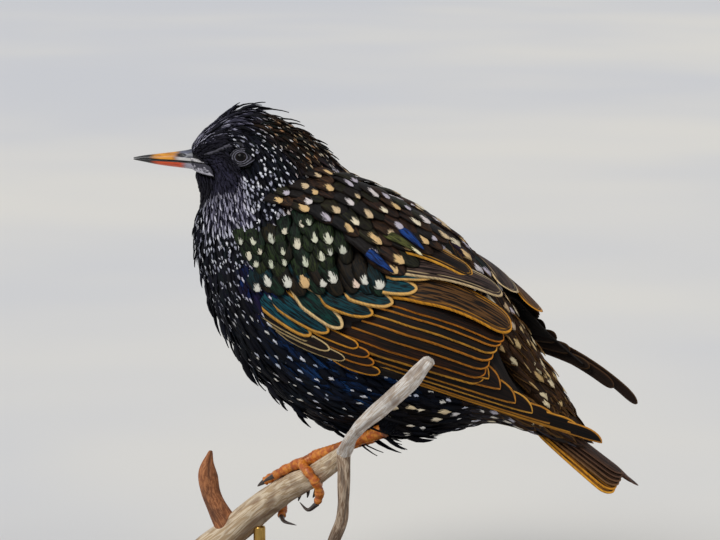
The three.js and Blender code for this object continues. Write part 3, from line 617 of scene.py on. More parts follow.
# Roots in rows along the body. Round each row they stand closer where the feathers are narrower:
# their count up to an angle is the sum of arc length over spacing. Rows are staggered by half a step
def coatRoots(rowShare, columnShare, seed, start, end):
    dice = np.random.default_rng(seed)
    fine = np.linspace(-np.pi, np.pi, 361)
    middle = (fine[1:] + fine[:-1]) / 2
    places, angles = [], []
    place = start
    while place < end:
        arc = np.linalg.norm(np.diff(skinPoint(place, fine), axis=0), axis=1)
        sizes = coatSizes(np.full(len(middle), place), middle)
        counted = np.concatenate([[0], np.cumsum(arc / (sizes[:, 1] * columnShare))])
        count = int(round(counted[-1]))
        wanted = (np.arange(count) + (0.5 if len(places) % 2 else 0)) / count * counted[-1]
        angles.append(np.interp(wanted, counted, fine))
        places.append(np.full(count, place))
        perPlace = np.linalg.norm(skinPoint(place + 0.2, middle) - skinPoint(place, middle), axis=1) / 0.2
        place += rowShare * np.median(sizes[:, 0] / np.maximum(perPlace, 1.2))
    place, angle = np.concatenate(places), np.concatenate(angles)
    width = coatSizes(place, angle)[:, 1]
    place = place + dice.normal(0, 0.016, len(place))
    angle = angle + dice.normal(0, 0.1, len(angle)) * width / 30
    return np.clip(place, 0, lastPlace), angle


# Shares of the plumage regions at a place and angle. The smooth face ends at a place that changes
# with the angle: early over the eye, late below it
def regions(place, angle):
    turn = np.degrees(np.abs(angle))
    upper, lower = ease(88, 55, turn), ease(100, 140, turn)
    limit = np.interp(turn, [45, 60, 70, 78, 84, 92, 100, 110, 121, 130, 180],
                      [1.9, 2.0, 2.3, 2.65, 3.25, 3.45, 3.2, 2.95, 2.75, 2.6, 2.2])
    seen = place - limit
    return {
        "face": ease(0.15, -0.25, seen) * ease(45, 60, turn),
        "cheek": ease(1.2, 1.9, place) * ease(0.15, -0.25, seen) * ease(84, 92, turn) * ease(126, 114, turn),
        "crown": ease(2.8, 2.3, place) * ease(65, 45, turn),
        "throat": ease(-0.3, 0.1, seen) * ease(1.15, 0.75, seen) * ease(80, 88, turn) * ease(142, 130, turn),
        "mantle": ease(4.4, 5.0, place) * upper * ease(8.9, 8.4, place),
        "rump": ease(8.2, 8.7, place) * ease(120, 95, turn),
        "belly": ease(4.9, 5.6, place) * (1 - upper) * ease(8.9, 8.5, place),
        "flank": ease(5.6, 6.2, place) * ease(8.2, 7.4, place) * ease(70, 80, turn) * ease(134, 116, turn),
        "shoulder": ease(4.75, 4.95, place) * ease(5.9, 5.6, place)
                    * ease(88, 94, turn) * ease(112, 106, turn),
        "vent": ease(8.6, 9.1, place) * ease(85, 115, turn),
        "creamVent": ease(7.45, 7.65, place) * ease(8.6, 8.4, place)
                     * ease(114, 119, turn) * ease(142, 136, turn),
        "nape": ease(2.4, 2.9, place) * ease(4.7, 4.3, place) * ease(48, 30, turn),
    }


# Picks one of a few colours for each feather, by chance or in turn
def picked(dice, codes, count, inTurn=False):
    palette = np.stack([light(code) for code in codes])
    return palette[np.arange(count) % len(codes) if inTurn else dice.choice(len(codes), count)]


# Looks of the plumage regions: feather tones, sheen tones, spot tones, the spot's length in mm and its
# width as a share of the feather's, and how much sheen there is
plumage = {
    "plain": [["08080b", "0b0b10"], ["1c2438", "23223a", "14262a", "2a2a34"],
              ["f0f0f4", "d4d6e2", "a4a6b6", "e6e8ee", "8c8e9e"], 1.35, 1.0, 0.4],
    "face": [["121118", "0f0e14", "16151d"], ["2a2836", "24222e", "1c1b24"], ["55535f"], 0, 0.5, 0.6],
    # the cheek's lighter tones and stronger sheen are a painted sheen on the face's black
    "cheek": [["22202b", "1c1b26"], ["3c3a4e", "34324a", "2a2838"], ["55535f"], 0, 0.5, 0.8],
    # the crown's narrow lilac-grey streaks, drawn as its spots, are painted highlights
    "crown": [["0b0b0f", "0f0e14"], ["5c5a72", "45445a", "26262f", "7a7892"], ["8c8aa0", "b0aec0", "706e84"],
              2.8, 0.3, 0.5],
    "nape": [["0f0b09", "170f0a"], ["3a2818", "1c2826", "4a3018"],
             ["c4ad88", "98815f", "d8c8ac", "b4845a", "e0dcd8"], 1.6, 0.8, 0.6],
    "throat": [["100f15", "13121b"], ["5a5872", "3c3a4e", "706e88"],
               ["a4a2b6", "7c7a8c", "d2d0de", "5c5a6e", "8a889c"], 5.2, 0.42, 0.95],
    "mantle": [["140f0c", "1c130d", "100e0e"], ["33221a", "46301e", "1c2a26", "2a1c30"],
               ["d8b682", "e2d4b4", "b8b0ba", "d2cacc", "cdb088"], 4.4, 1.0, 0.8],
    "rump": [["1d130c", "281a10"], ["553820", "3e2918"], ["d2b47c", "bd9c64", "e2d0a8"], 3.4, 0.85, 0.85],
    "belly": [["07080b", "0a0a0e"], ["0e1a30", "1c1c2c", "0c2030"], ["f6f4f0", "dfe2f0", "f4f0e4"],
              2.0, 0.8, 0.35],
    "flank": [["05080f", "070c16"], ["0c1626", "0c2850", "143c72", "0a1020", "1a4e8c"],
              ["eceef6", "c8d6ee"], 2.0, 0.8, 0.75],
    "shoulder": [["080a18", "100c1e"], ["1a3c84", "2a2054", "142a58"], ["e6e2f0"], 1.6, 0.8, 0.75],
    "vent": [["1c1a1a", "282523"], ["5a5664", "403834"], ["e6dece", "f2e4c0", "c0bcc6"], 3.4, 0.8, 0.6],
    "creamVent": [["0a0908", "100d0b"], ["241c14", "1c1c2c"], ["ecd6ac", "f0e2c4"], 4.6, 1.6, 0.4],
}


# Colours and marks of body feathers: those of each region, mixed in its share. spotted says whether
# they carry a spot
def coatMarks(place, angle, sizes, spotted, dice):
    count = len(place)
    area = regions(place, angle)
    values = None
    for name, look in plumage.items():
        own = [picked(dice, codes, count) for codes in look[:3]]
        own += [np.full((count, 1), number) for number in look[3:]]
        values = [mixed(a, b, area[name][:, None]) for a, b in zip(values, own)] if values else own
    tone, sheen, spot, spotLength, spotWide, amount = values
    tone = tone * np.exp(dice.normal(0, 0.25, (count, 1)))
    spotShare = np.clip(spotLength[:, 0] * dice.uniform(0.75, 1.2, count) / sizes[:, 0], 0, 0.6) * spotted
    edgeTone = mixed(light("3a2a1c"), light("8a6436"), dice.uniform(0, 1, (count, 1)))
    edgeWidth = area["mantle"] * 0.3 + area["rump"] * 0.5 + area["vent"] * 0.3
    edgeWidth = edgeWidth * dice.uniform(0.2, 1, count)
    marks = np.stack([spotShare, edgeWidth, amount[:, 0] * dice.uniform(0.3, 1.2, count)], -1)
    return {"tone": tone, "sheenTone": sheen, "spotTone": spot, "edgeTone": edgeTone, "marks": marks,
            "spotWide": spotWide[:, 0] * dice.uniform(0.8, 1.15, count), "chance": dice.uniform(0, 1, count)}


# A place on the unwrap of the body: round it and along it
def skinMap(place, angle):
    return np.stack([0.5 + angle / (2 * np.pi), np.clip(place, 0, lastPlace) / lastPlace], -1) * 0.98 + 0.01


# How many places a feather reaches on from its root: its length over the millimetres of one place
def reachOf(place, angle, length):
    step = 0.05
    perPlace = np.linalg.norm(skinPoint(place + step, angle) - skinPoint(place, angle), axis=-1) / step
    return length / np.maximum(perPlace, 4.0)


# Feathers lie along the body from their roots on the skin, each turned a little to one side by its
# yaw, and stand off at their tips
def coatFeathers(place, angle, sizes, lift, dice):
    step = 0.05
    nextTo = skinPoint(place, angle + step) - skinPoint(place, angle - step)
    perTurn = np.linalg.norm(nextTo, axis=-1) / step / 2
    reach = reachOf(place, angle, sizes[:, 0])
    yaw = dice.normal(0, coat["yaw"], len(place)) * sizes[:, 0] / np.maximum(perTurn, 2.0)
    stops = [onSkin(place + reach * share, angle + yaw * share, height)
             for share, height in ((0, -coatDepth(place)), (0.5, lift * 0.5), (1, lift))]
    ups = [skinNormal(np.minimum(place + reach * share, lastPlace), angle) for share in (0, 0.5, 1)]
    return np.stack(stops, 1), np.stack(ups, 1)


def makeSkin():
    # the body's surface moved in by the coat's depth, in rings from the bill to the tail
    paint = Paint("skin", roughness=0.8)
    patches = paint.grains(paint.objectPlace(), 500.0, 4.0)
    colour = paint.blended(paint.times(patches, 0.6), paint.read("tone", "Color"), (0.004, 0.004, 0.005, 1))
    material = paint.painted(colour, patches, 0.6, 0.3)
    place = np.linspace(0.0, lastPlace, body["rings"])[:, None]
    angle = fullRound(body["sides"])[None, :] - np.pi
    rings = onSkin(place, angle, -coatDepth(place) * np.ones_like(angle))
    places, angles = (v.ravel() for v in np.broadcast_arrays(place, angle))
    marks = coatMarks(places, angles, coatSizes(places, angles), False, np.random.default_rng(1))
    skin = ringPiece("skin", rings, material, tone=marks["tone"].reshape(rings.shape) * body["skinShade"])
    for sideName in sideSigns:
        joinThigh(skin, sideName, material)
    settle(skin, "plumage", "torso", "neck", "head", "thigh_left", "thigh_right")


# Legs: the thigh's middle line and radii repeat the solid's. Its short feathers stand in rows from a
# share of the way on, and have the colours of one place and angle of the belly
legs = {
    "left": {"hip": [21, -11, 74], "heel": [13.6, -14.4, 61.9], "ankle": [-12.6, -8.6, 50.6]},
    "right": {"hip": [7, 11, 70], "heel": [-0.5, 14.2, 54.6], "ankle": [-21.8, -1.6, 45.6]},
    "thighRadii": [8.5, 6.2, 3.0], "thighDepth": 1.6, "rings": 12, "sides": 24,
    "coat": {"rows": 18, "columns": 18, "from": 0.15, "span": 0.62, "length": 4.5, "width": 1.8,
             "lifts": [-0.3, 0.6, 1.3], "pointed": 0.8, "likePlace": 7.2, "likeAngle": 2.7},
}


# Beside a thigh: at a share of the way from hip to heel, an angle round it and a height over its skin,
# which lies inside the solid's by the coat's depth
def thighPoint(sideName, share, angle, lift):
    hip, heel = (np.array(legs[sideName][key], float) for key in ("hip", "heel"))
    way = unit(heel - hip)
    across = unit(np.cross(way, [1.0, 0, 0]))
    over = np.cross(across, way)
    reach = np.maximum(alongValues(legs["thighRadii"], share) - legs["thighDepth"], 1.0)
    outward = over * np.cos(angle)[:, None] + across * np.sin(angle)[:, None]
    return hip + (heel - hip) * share[:, None] + (reach + lift)[:, None] * outward, outward


# Joins a thigh to the skin, so that both are one closed surface
def joinThigh(skin, sideName, material):
    share = np.linspace(0, 1, legs["rings"])
    centres = mixed(legs[sideName]["hip"], legs[sideName]["heel"], share[:, None])
    radii = np.maximum(alongValues(legs["thighRadii"], share) - legs["thighDepth"], 0.8)
    rings = tubeRings(centres, radii, legs["sides"], (1, 0, 0))
    tone = light(plumage["belly"][0][0]) * body["skinShade"]
    thigh = ringPiece("thigh", rings, material, tone=np.broadcast_to(tone, rings.shape))
    union = skin.modifiers.new("union", "BOOLEAN")
    union.operation, union.solver, union.object = "UNION", "EXACT", thigh
    bpy.context.view_layer.objects.active = skin
    bpy.ops.object.modifier_apply(modifier=union.name)
    bpy.data.objects.remove(thigh)


# One layer of the coat, cut along the body into pieces of a few thousand feathers. A feather has the
# colours of the place near its tip, where it shows, and is rolled about its own length by chance
def coatLayer(name, place, angle, sizes, lift, spotted, material, dice, roll=9, **shape):
    stops, ups = coatFeathers(place, angle, sizes, lift, dice)
    seen = place + 0.85 * reachOf(place, angle, sizes[:, 0])
    marks = coatMarks(seen, angle, sizes, np.full(len(place), spotted), dice)
    tilt = dice.normal(0, roll, len(place))
    parts = int(np.ceil(len(place) / coat["perPiece"]))
    for number, part in enumerate(np.array_split(np.argsort(place), parts)):
        form = coat["form"] | shape | {"tilt": tilt[part]}
        own = {key: values[part] for key, values in marks.items()}
        featherPiece(f"{name}{number}", stops[part], ups[part], sizes[part, 1] / 2,
                     np.clip(sizes[part, 3], 0, 1), form, skinMap(place[part], angle[part]), own,
                     material, "plumage")
    print(name, len(place), "feathers")


# Whether a feather may grow: not under a wing, not where its root or its tip would come within the lids'
# reach of an eye's middle, and not between the two edges of the face's bare places
def grows(place, angle, length):
    points = skinPoint(place, angle)
    keep = ~underWing(points)
    for share in (0, 0.5, 0.95):
        along = skinPoint(place + share * reachOf(place, angle, length), angle)
        for centre, out in eyeCentres.values():
            offset = along - centre
            beside = np.linalg.norm(offset - (offset @ out)[:, None] * out, axis=-1)
            keep &= ~((beside < eye["bare"]) & (offset @ out > 0))
    x, _, z, _ = sectionPoint(place, angle)
    edges = np.array(bareFace)
    high, low = (np.interp(x, edges[:, 0], edges[:, k]) for k in (1, 2))
    return keep & ~((x < edges[-1, 0]) & (z < high) & (z > low))


def makeCoat():
    # a dense layer of dark feathers, over it a sparser one whose tips carry the spots, and the fringes
    material = plumageMaterial("bodyPlumage", roughness=0.62, specular=0.08)
    dice = np.random.default_rng(coat["seed"])
    for layer, (name, (rowShare, columnShare, first, last)) in enumerate(coat["layers"].items()):
        place, angle = coatRoots(rowShare, columnShare, coat["seed"] + layer, first, last)
        keep = grows(place, angle, coatSizes(place, angle)[:, 0])
        place, angle = place[keep], angle[keep]
        sizes = coatSizes(place, angle)
        if layer:
            # feathers that carry a spot are wider, and blunter down the neck's sides
            sides = ease(50, 65, np.degrees(np.abs(angle))) * ease(4.7, 4.0, place)
            sizes[:, 1] *= mixed(1.15, 1.25, sides)
            sizes[:, 3] *= mixed(0.8, 0.45, sides)
        sizes[:, :3] = sizes[:, :3] * np.exp(dice.normal(0, 0.12, (len(place), 3)))
        lift = sizes[:, 2] * dice.uniform(0.5, 1.3, len(place)) + 0.45 * min(layer, 1)
        coatLayer(name, place, angle, sizes, lift, bool(layer), material, dice)
    for number, (name, fringe) in enumerate(fringes.items()):
        place, angle = coatRoots(*fringe["step"], coat["seed"] + 9 + number, fringe["from"], fringe["to"])
        rows, turn = np.array(fringe["rows"]), np.degrees(np.abs(angle))
        keep = grows(place, angle, np.interp(place, rows[:, 0], rows[:, 1]))
        keep &= (turn >= fringe["angles"][0]) & (turn <= fringe["angles"][1])
        place, angle, turn = place[keep], angle[keep], turn[keep]
        sizes = np.stack([np.interp(place, rows[:, 0], rows[:, k]) for k in (1, 2, 3)], -1)
        sizes = np.append(sizes, np.full((len(place), 1), 0.85), 1)
        sizes[:, :3] = sizes[:, :3] * np.exp(dice.normal(0, 0.18, (len(place), 3)))
        middle = 180 - turn if name == "breast" else turn
        lift = sizes[:, 2] * mixed(1, 0.35, ease(18, 62, middle))
        coatLayer(name, place, angle, sizes, lift, name == "rump", material, dice, 42, thick=0.6, across=4)
    makeThighCoat(material)


def makeThighCoat(material):
    # short feathers in staggered rows down each thigh
    dice = np.random.default_rng(8)
    look = legs["coat"]
    row, column = gridNumbers(look["rows"], look["columns"])
    count = len(row)
    for sideName in sideSigns:
        share = look["from"] + look["span"] * row / look["rows"] + dice.normal(0, 0.01, count)
        angle = (column + 0.5 * (row % 2)) / look["columns"] * 2 * np.pi + dice.normal(0, 0.06, count)
        length = look["length"] * dice.uniform(0.85, 1.15, count)
        span = np.linalg.norm(np.subtract(legs[sideName]["heel"], legs[sideName]["hip"]))
        placed = [thighPoint(sideName, share + length / span * u, angle, lift)
                  for u, lift in zip((0, 0.5, 1), look["lifts"])]
        stops, ups = (np.stack(v, 1) for v in zip(*placed))
        place, turn = np.full(count, look["likePlace"]), np.full(count, look["likeAngle"])
        marks = coatMarks(place, turn, length[:, None], False, dice)
        rootMap = skinMap(place - 0.3 + share, turn + 0.1 * np.sin(angle))
        featherPiece("thighCoat_" + sideName, stops, ups, look["width"] / 2, look["pointed"], coat["form"],
                     rootMap, marks, material, "plumage")
    print("thigh coat")


# Wings. Each tier lists roots, middles and tips as x and angle on the wing's surface, the heights of
# root, middle and tip over it, and its feathers' widths. The far wing takes the same tiers
wings = {
    "tiers": {
        "primaries": {
            "count": 7, "width": [8, 8, 7, 6, 5.4, 5, 4.4], "tilt": 16, "lifts": [-2, -1.2, -0.9],
            "sink": 0.12, "form": "primary", "roots": [[4, -5], [0, -12], [-5, -16]],
            "middles": [[32, -4], [34, -8.6], [34, -14.5], [35, -19.3], [37, -24.1], [40, -28], [43, -30.5]],
            "tips": [[54, 4], [57.5, 0.5], [62, -7], [67, -11], [74.3, -14.2], [81.8, -15], [88.3, -15.3]],
        },
        "secondaries": {
            "count": 7, "width": [8, 8], "tilt": 12, "lifts": [-1.8, -0.6, -0.4], "form": "secondary",
            "roots": [[18, 20], [12, 8], [2, -6]], "middles": [[38, 25], [34, 9], [28, -7]],
            "tips": [[56.5, 38], [54.5, 18], [52, -4]],
        },
        "tertials": {
            "count": 3, "width": [9, 10.5, 12], "tilt": 9, "lifts": [-1.6, 0.3, 0.8], "form": "tertial",
            "roots": [[14, 48], [16, 35], [18, 24]], "middles": [[28, 55], [35, 49], [38, 36]],
            "tips": [[43.5, 64], [51.5, 74], [58, 50]],
        },
        "primaryCoverts": {
            "count": 4, "width": [4.6, 4.6], "tilt": 12, "lifts": [-1.6, -0.5, -0.3], "form": "covert",
            "pointed": 0.3, "roots": [[-12, -6], [-9.5, -8.4], [-5.2, -10.7], [-3.3, -14.4]],
            "middles": [[0, -7.5], [2.5, -10.5], [5, -13.5], [7, -17.8]],
            "tips": [[11, -7.8], [14.7, -10.2], [16.2, -13.9], [18, -18.3]],
        },
        "alula": {
            "count": 3, "width": [6.4, 5.4], "tilt": 10, "lifts": [-1.5, -0.1, 0.1], "form": "covert",
            "pointed": 0.5, "roots": [[-30.8, -4.6], [-28.1, -8.4], [-23.6, -12.6]],
            "middles": [[-18, -10], [-13.5, -12.8], [-8.5, -15.8]],
            "tips": [[-4.6, -13.2], [0.9, -14.3], [6.1, -16.1]],
        },
        "greaterCoverts": {
            "count": 7, "width": [8.0, 8.0], "tilt": 11, "lifts": [-1.6, 0.2, 0.3], "form": "covert",
            "pointed": 0.35,
            "roots": [[14, 32], [7.9, 25], [3.6, 17.2], [-3.1, 11.2], [-13.1, 7.5], [-23.3, 4.1], [-28, 1.2]],
            "middles": [[25, 37], [19.5, 26.5], [12.5, 17.5], [4.5, 9.5], [-3.5, 2.8], [-13, -2], [-19, -5]],
            "tips": [[33.9, 42], [29.7, 29.7], [22.6, 18], [16.2, 10], [5.8, -1.5], [1, -6], [-5.5, -11]],
        },
    },
    "forms": {
        "primary": {"steps": 30, "across": 8, "thick": 0.36, "camber": 0.01, "rounded": 2.8,
                    "crowding": 1.7, "fullness": 1.9, "skew": 0.8},
        "secondary": {"steps": 26, "across": 8, "thick": 0.42, "camber": 0.012, "rounded": 1.3,
                      "crowding": 1.7, "fullness": 2.4, "skew": 0.3},
        "tertial": {"steps": 26, "across": 8, "thick": 0.42, "camber": 0.012, "rounded": 1.1,
                    "crowding": 1.7, "fullness": 3.2, "skew": 0.15},
        "covert": {"steps": 18, "across": 8, "thick": 0.36, "camber": 0.02, "rounded": 1.7, "crowding": 1.5},
        "small": {"steps": 9, "across": 4, "thick": 0.3, "camber": 0.035, "rounded": 1.1, "crowding": 1.4},
    },
    # small coverts and scapulars: a kind's lie is the way from root to tip, in mm and in degrees, for each
    # mm of length. Its rows list the first tip, the middle of the row and the last tip, the count,
    # the feathers' length and width and how high the tips are. Between the spotted feathers of a row lie
    # plain ones, further on by the reach and lower
    "smallKinds": {
        "median": {"lie": [0.6, -1.05], "pointed": 0.25, "rows": [
            [[18.5, 24], [0, 13.5], [-24, 1], 9, 12.5, 6.6, 0.95]]},
        "lesser": {"lie": [0.42, -1.3], "pointed": 0.3, "rows": [
            [[6, 31], [-8, 17.5], [-24, 10], 7, 11.5, 6.4, 1.2],
            [[-1, 33], [-13, 22], [-28, 13], 6, 11, 6.2, 1.45],
            [[-8, 37], [-18, 27], [-31, 17], 6, 10, 5.8, 1.6]]},
        "scapular": {"lie": [0.86, -0.55], "pointed": 0.4, "rows": [
            [[33, 72], [29, 54], [22, 33], 6, 16, 7.6, 1.3],
            [[27, 76], [21, 56], [14, 38], 6, 15.5, 7.4, 1.6],
            [[20, 77], [12.5, 59], [6, 42], 6, 15, 7.2, 1.9],
            [[12, 76], [4.5, 60], [-2, 42], 6, 14, 7.0, 2.0],
            [[4, 73], [-4, 57], [-10, 43], 6, 13, 6.6, 2.0],
            [[-5, 70], [-12, 56], [-18, 43], 5, 12, 6.2, 1.9]]},
    },
    "plain": {"reach": 2.6, "lower": 0.3}, "scatter": {"tip": 0.85, "lie": 0.07, "middle": 0.3},
    # single bright feathers over the others: root, middle and tip, each x and angle
    "accents": {
        "blue": [[[18.8, 60.9], [24.3, 56.0], [29.6, 52.3]], [[9.8, 38.7], [15.7, 35.6], [22.1, 32.4]]],
        "olive": [[[14.3, 51.1], [21.8, 50.7], [29.5, 48.4]]],
        "width": 3.8, "length": 15.0, "pointed": 0.8, "lifts": [0.8, 2.5, 2.3],
    },
    "core": {"lengths": 60, "sides": 24, "sunk": 0.5, "edgeSunk": 0.9, "steepness": 4},
    # the far wing: its share of the near feathers' tilt, the tones that its long feathers take on and in
    # which share, and its primaries' widths and form and how their middles and tips differ from the near
    "farTilt": 0.4, "farTones": {"edgeTone": ["2c2119", 0.94], "tone": ["2a201a", 0.5]},
    "farBlade": {
        "width": [6, 5.4, 4.6, 4, 3.8, 4.2, 4.4], "form": {"rounded": 1.0, "fullness": 3.0},
        "middlesBy": [[0, 0], [0, 0], [0, 0], [0.5, 1], [1.5, 2], [3, 2], [4.5, 2.5]],
        "tipsBy": [[0, 0], [0, 0], [0, 0], [0, -1], [0, -1], [1.5, 2], [4.2, 28.3]]},
}


# Looks of each kind of wing feather: tones, sheen tones, edge tones, the edge's width and how much sheen
# there is. A kind with spots has their tones, and a spot's length in mm and width as a share of the
# feather's. Where they are in turn, the feathers of a tier take the listed colours one after the other
wingLooks = {
    "primaries": {
        "tones": ["0a0807", "0e0a08"], "sheens": ["2a1810", "20140c"],
        "edges": ["cf8f30", "dca040", "b8762a", "c48430"], "edgeWidth": [0.42, 0.54], "amount": 0.6},
    "secondaries": {
        "tones": ["090706", "0d0907"], "sheens": ["301a0e", "20140c"],
        "edges": ["d8902a", "c87a22", "dc9c3a", "cc822a"], "edgeWidth": [0.54, 0.67], "amount": 0.7},
    "tertials": {
        "tones": ["0d0a09", "120c0a", "16100c"], "sheens": ["2e2018", "54423a", "5c3e20"],
        "edges": ["d89a34", "dcc090", "dc952a"], "edgeWidth": [0.8, 1.0], "amount": 0.95, "inTurn": True},
    "primaryCoverts": {
        "tones": ["0b0807"], "sheens": ["301c12"], "edges": ["d8932e", "c47a22"],
        "edgeWidth": [0.4, 0.6], "amount": 0.6},
    "alula": {
        "tones": ["080708", "0b0909"], "sheens": ["2a1a12", "1c1614"], "edges": ["dcbf86", "c8843a"],
        "edgeWidth": [0.3, 0.5], "amount": 0.7},
    "greaterCoverts": {
        "tones": ["04090a", "050b0a"], "sheens": ["104650", "0e3c42", "0a342e"],
        "edges": ["dfae62", "d89c40", "e6c48a"], "edgeWidth": [0.75, 1.1], "amount": 1.0},
    "median": {
        "tones": ["070a07", "0a0c08", "07090a"], "sheens": ["2c3c1c", "1a3424", "2c2214", "12343a"],
        "edges": ["1c1c10"], "spots": ["e4d6b4", "e6ccb8", "d8b078", "dad8ca"],
        "edgeWidth": [0.0, 0.1], "spot": [3.6, 0.75], "amount": 0.9},
    "lesser": {
        "tones": ["060906", "080b07"], "sheens": ["28361a", "30381c", "1c2e20", "26200f", "24331a"],
        "edges": ["1c2010"], "spots": ["d2d2b8", "c6cab0", "bfc0ae", "dad2b8"],
        "edgeWidth": [0.0, 0.1], "spot": [3.1, 0.56], "amount": 0.85},
    "scapular": {
        "tones": ["120d0a", "18100b", "0c0b0c"], "sheens": ["3c281c", "4a321f", "22201f", "2e2e1c"],
        "edges": ["2c1c10", "4a3018"], "spots": ["d8b47c", "e6d8b8", "bab2bc", "dcd2ce", "d2b890"],
        "edgeWidth": [0.0, 0.12], "spot": [4.1, 0.74], "amount": 0.85},
    "blue": {"tones": ["07102a"], "sheens": ["173e80"], "edges": ["0a0c14"],
             "edgeWidth": [0.0, 0.1], "amount": 1.3},
    "olive": {
        "tones": ["1a1c0c"], "sheens": ["5e6030"], "edges": ["2c1c10"], "spots": ["ece0b4"],
        "edgeWidth": [0.0, 0.1], "spot": [4.0, 1.0], "amount": 1.2},
    "tail": {
        "tones": ["150e0b", "1a120d"],
        "sheens": ["4e3628", "3c2a20", "4e3628", "5c3e26", "7a4c1c", "8a5820"] + ["4a3024"] * 6,
        "edges": ["5a4030", "5a4030", "6a4c34", "7a5836", "d08c26", "dc9a30"] + ["5a3c2c"] * 6,
        "edgeWidth": [0.8, 0.95], "amount": 0.9, "inTurn": True},
}


# Marks of wing feathers of one kind, drawn from its looks
def wingMarks(kind, count, length, dice, spotted=True):
    look = {"spots": ["c08030"], "spot": [0, 0.5], "inTurn": False} | wingLooks[kind]
    spotLength, spotWide = look["spot"]
    spot = np.clip(spotLength / length * dice.uniform(0.6, 1.2, count), 0, 0.6) * spotted
    edge = dice.uniform(*look["edgeWidth"], count)
    marks = {name: picked(dice, look[plural], count, look["inTurn"]) for name, plural in
             (("tone", "tones"), ("sheenTone", "sheens"), ("spotTone", "spots"), ("edgeTone", "edges"))}
    return marks | {"marks": np.stack([spot, edge, look["amount"] * dice.uniform(0.6, 1.1, count)], -1),
                    "spotWide": spotWide * dice.uniform(0.6, 1.2, count), "chance": dice.uniform(0, 1, count)}


# Places evenly along a short list of x and angle pairs
def tierPlaces(pairs, count):
    return smoothRows(pairs, np.linspace(0, 1, count) * (len(pairs) - 1))


# Root, middle and tip points and outward directions for places on a wing
def wingStops(places, lifts, side):
    stops = [wingPoint(p[:, 0], p[:, 1], lift, side) for p, lift in zip(places, lifts)]
    ups = [wingNormal(p[:, 0], p[:, 1], side) for p in places]
    return np.stack(stops, 1), np.stack(ups, 1)


# A cell of a square sheet for each feather, so that its pattern is baked whole
def sheetMap(count, columns):
    index = np.arange(count)
    return np.stack([(index % columns + 0.5) / columns, (index // columns + 0.5) / columns], -1)


# Under the feathers: brown streaks along the wing's own map
def makeCoreMaterial():
    paint = Paint("wingCore", roughness=0.8, specular=0.2)
    streaks = paint.grains(paint.mapPlace("OFBake"), 7.0, 5.0, 0.2, (6.0, 1.0, 1.0))
    return paint.painted(paint.blended(paint.easing(streaks, 0.42, 0.6), "0c0907", "221a15"), streaks)


# A tier or row of wing feathers, each in a third of its sheet's width
def wingPiece(name, stops, ups, halfWidth, pointed, form, marks, material):
    featherPiece(name, stops, ups, halfWidth, pointed, form, sheetMap(len(stops), 3), marks, material,
                 "wing_feathers", patch=0.3)


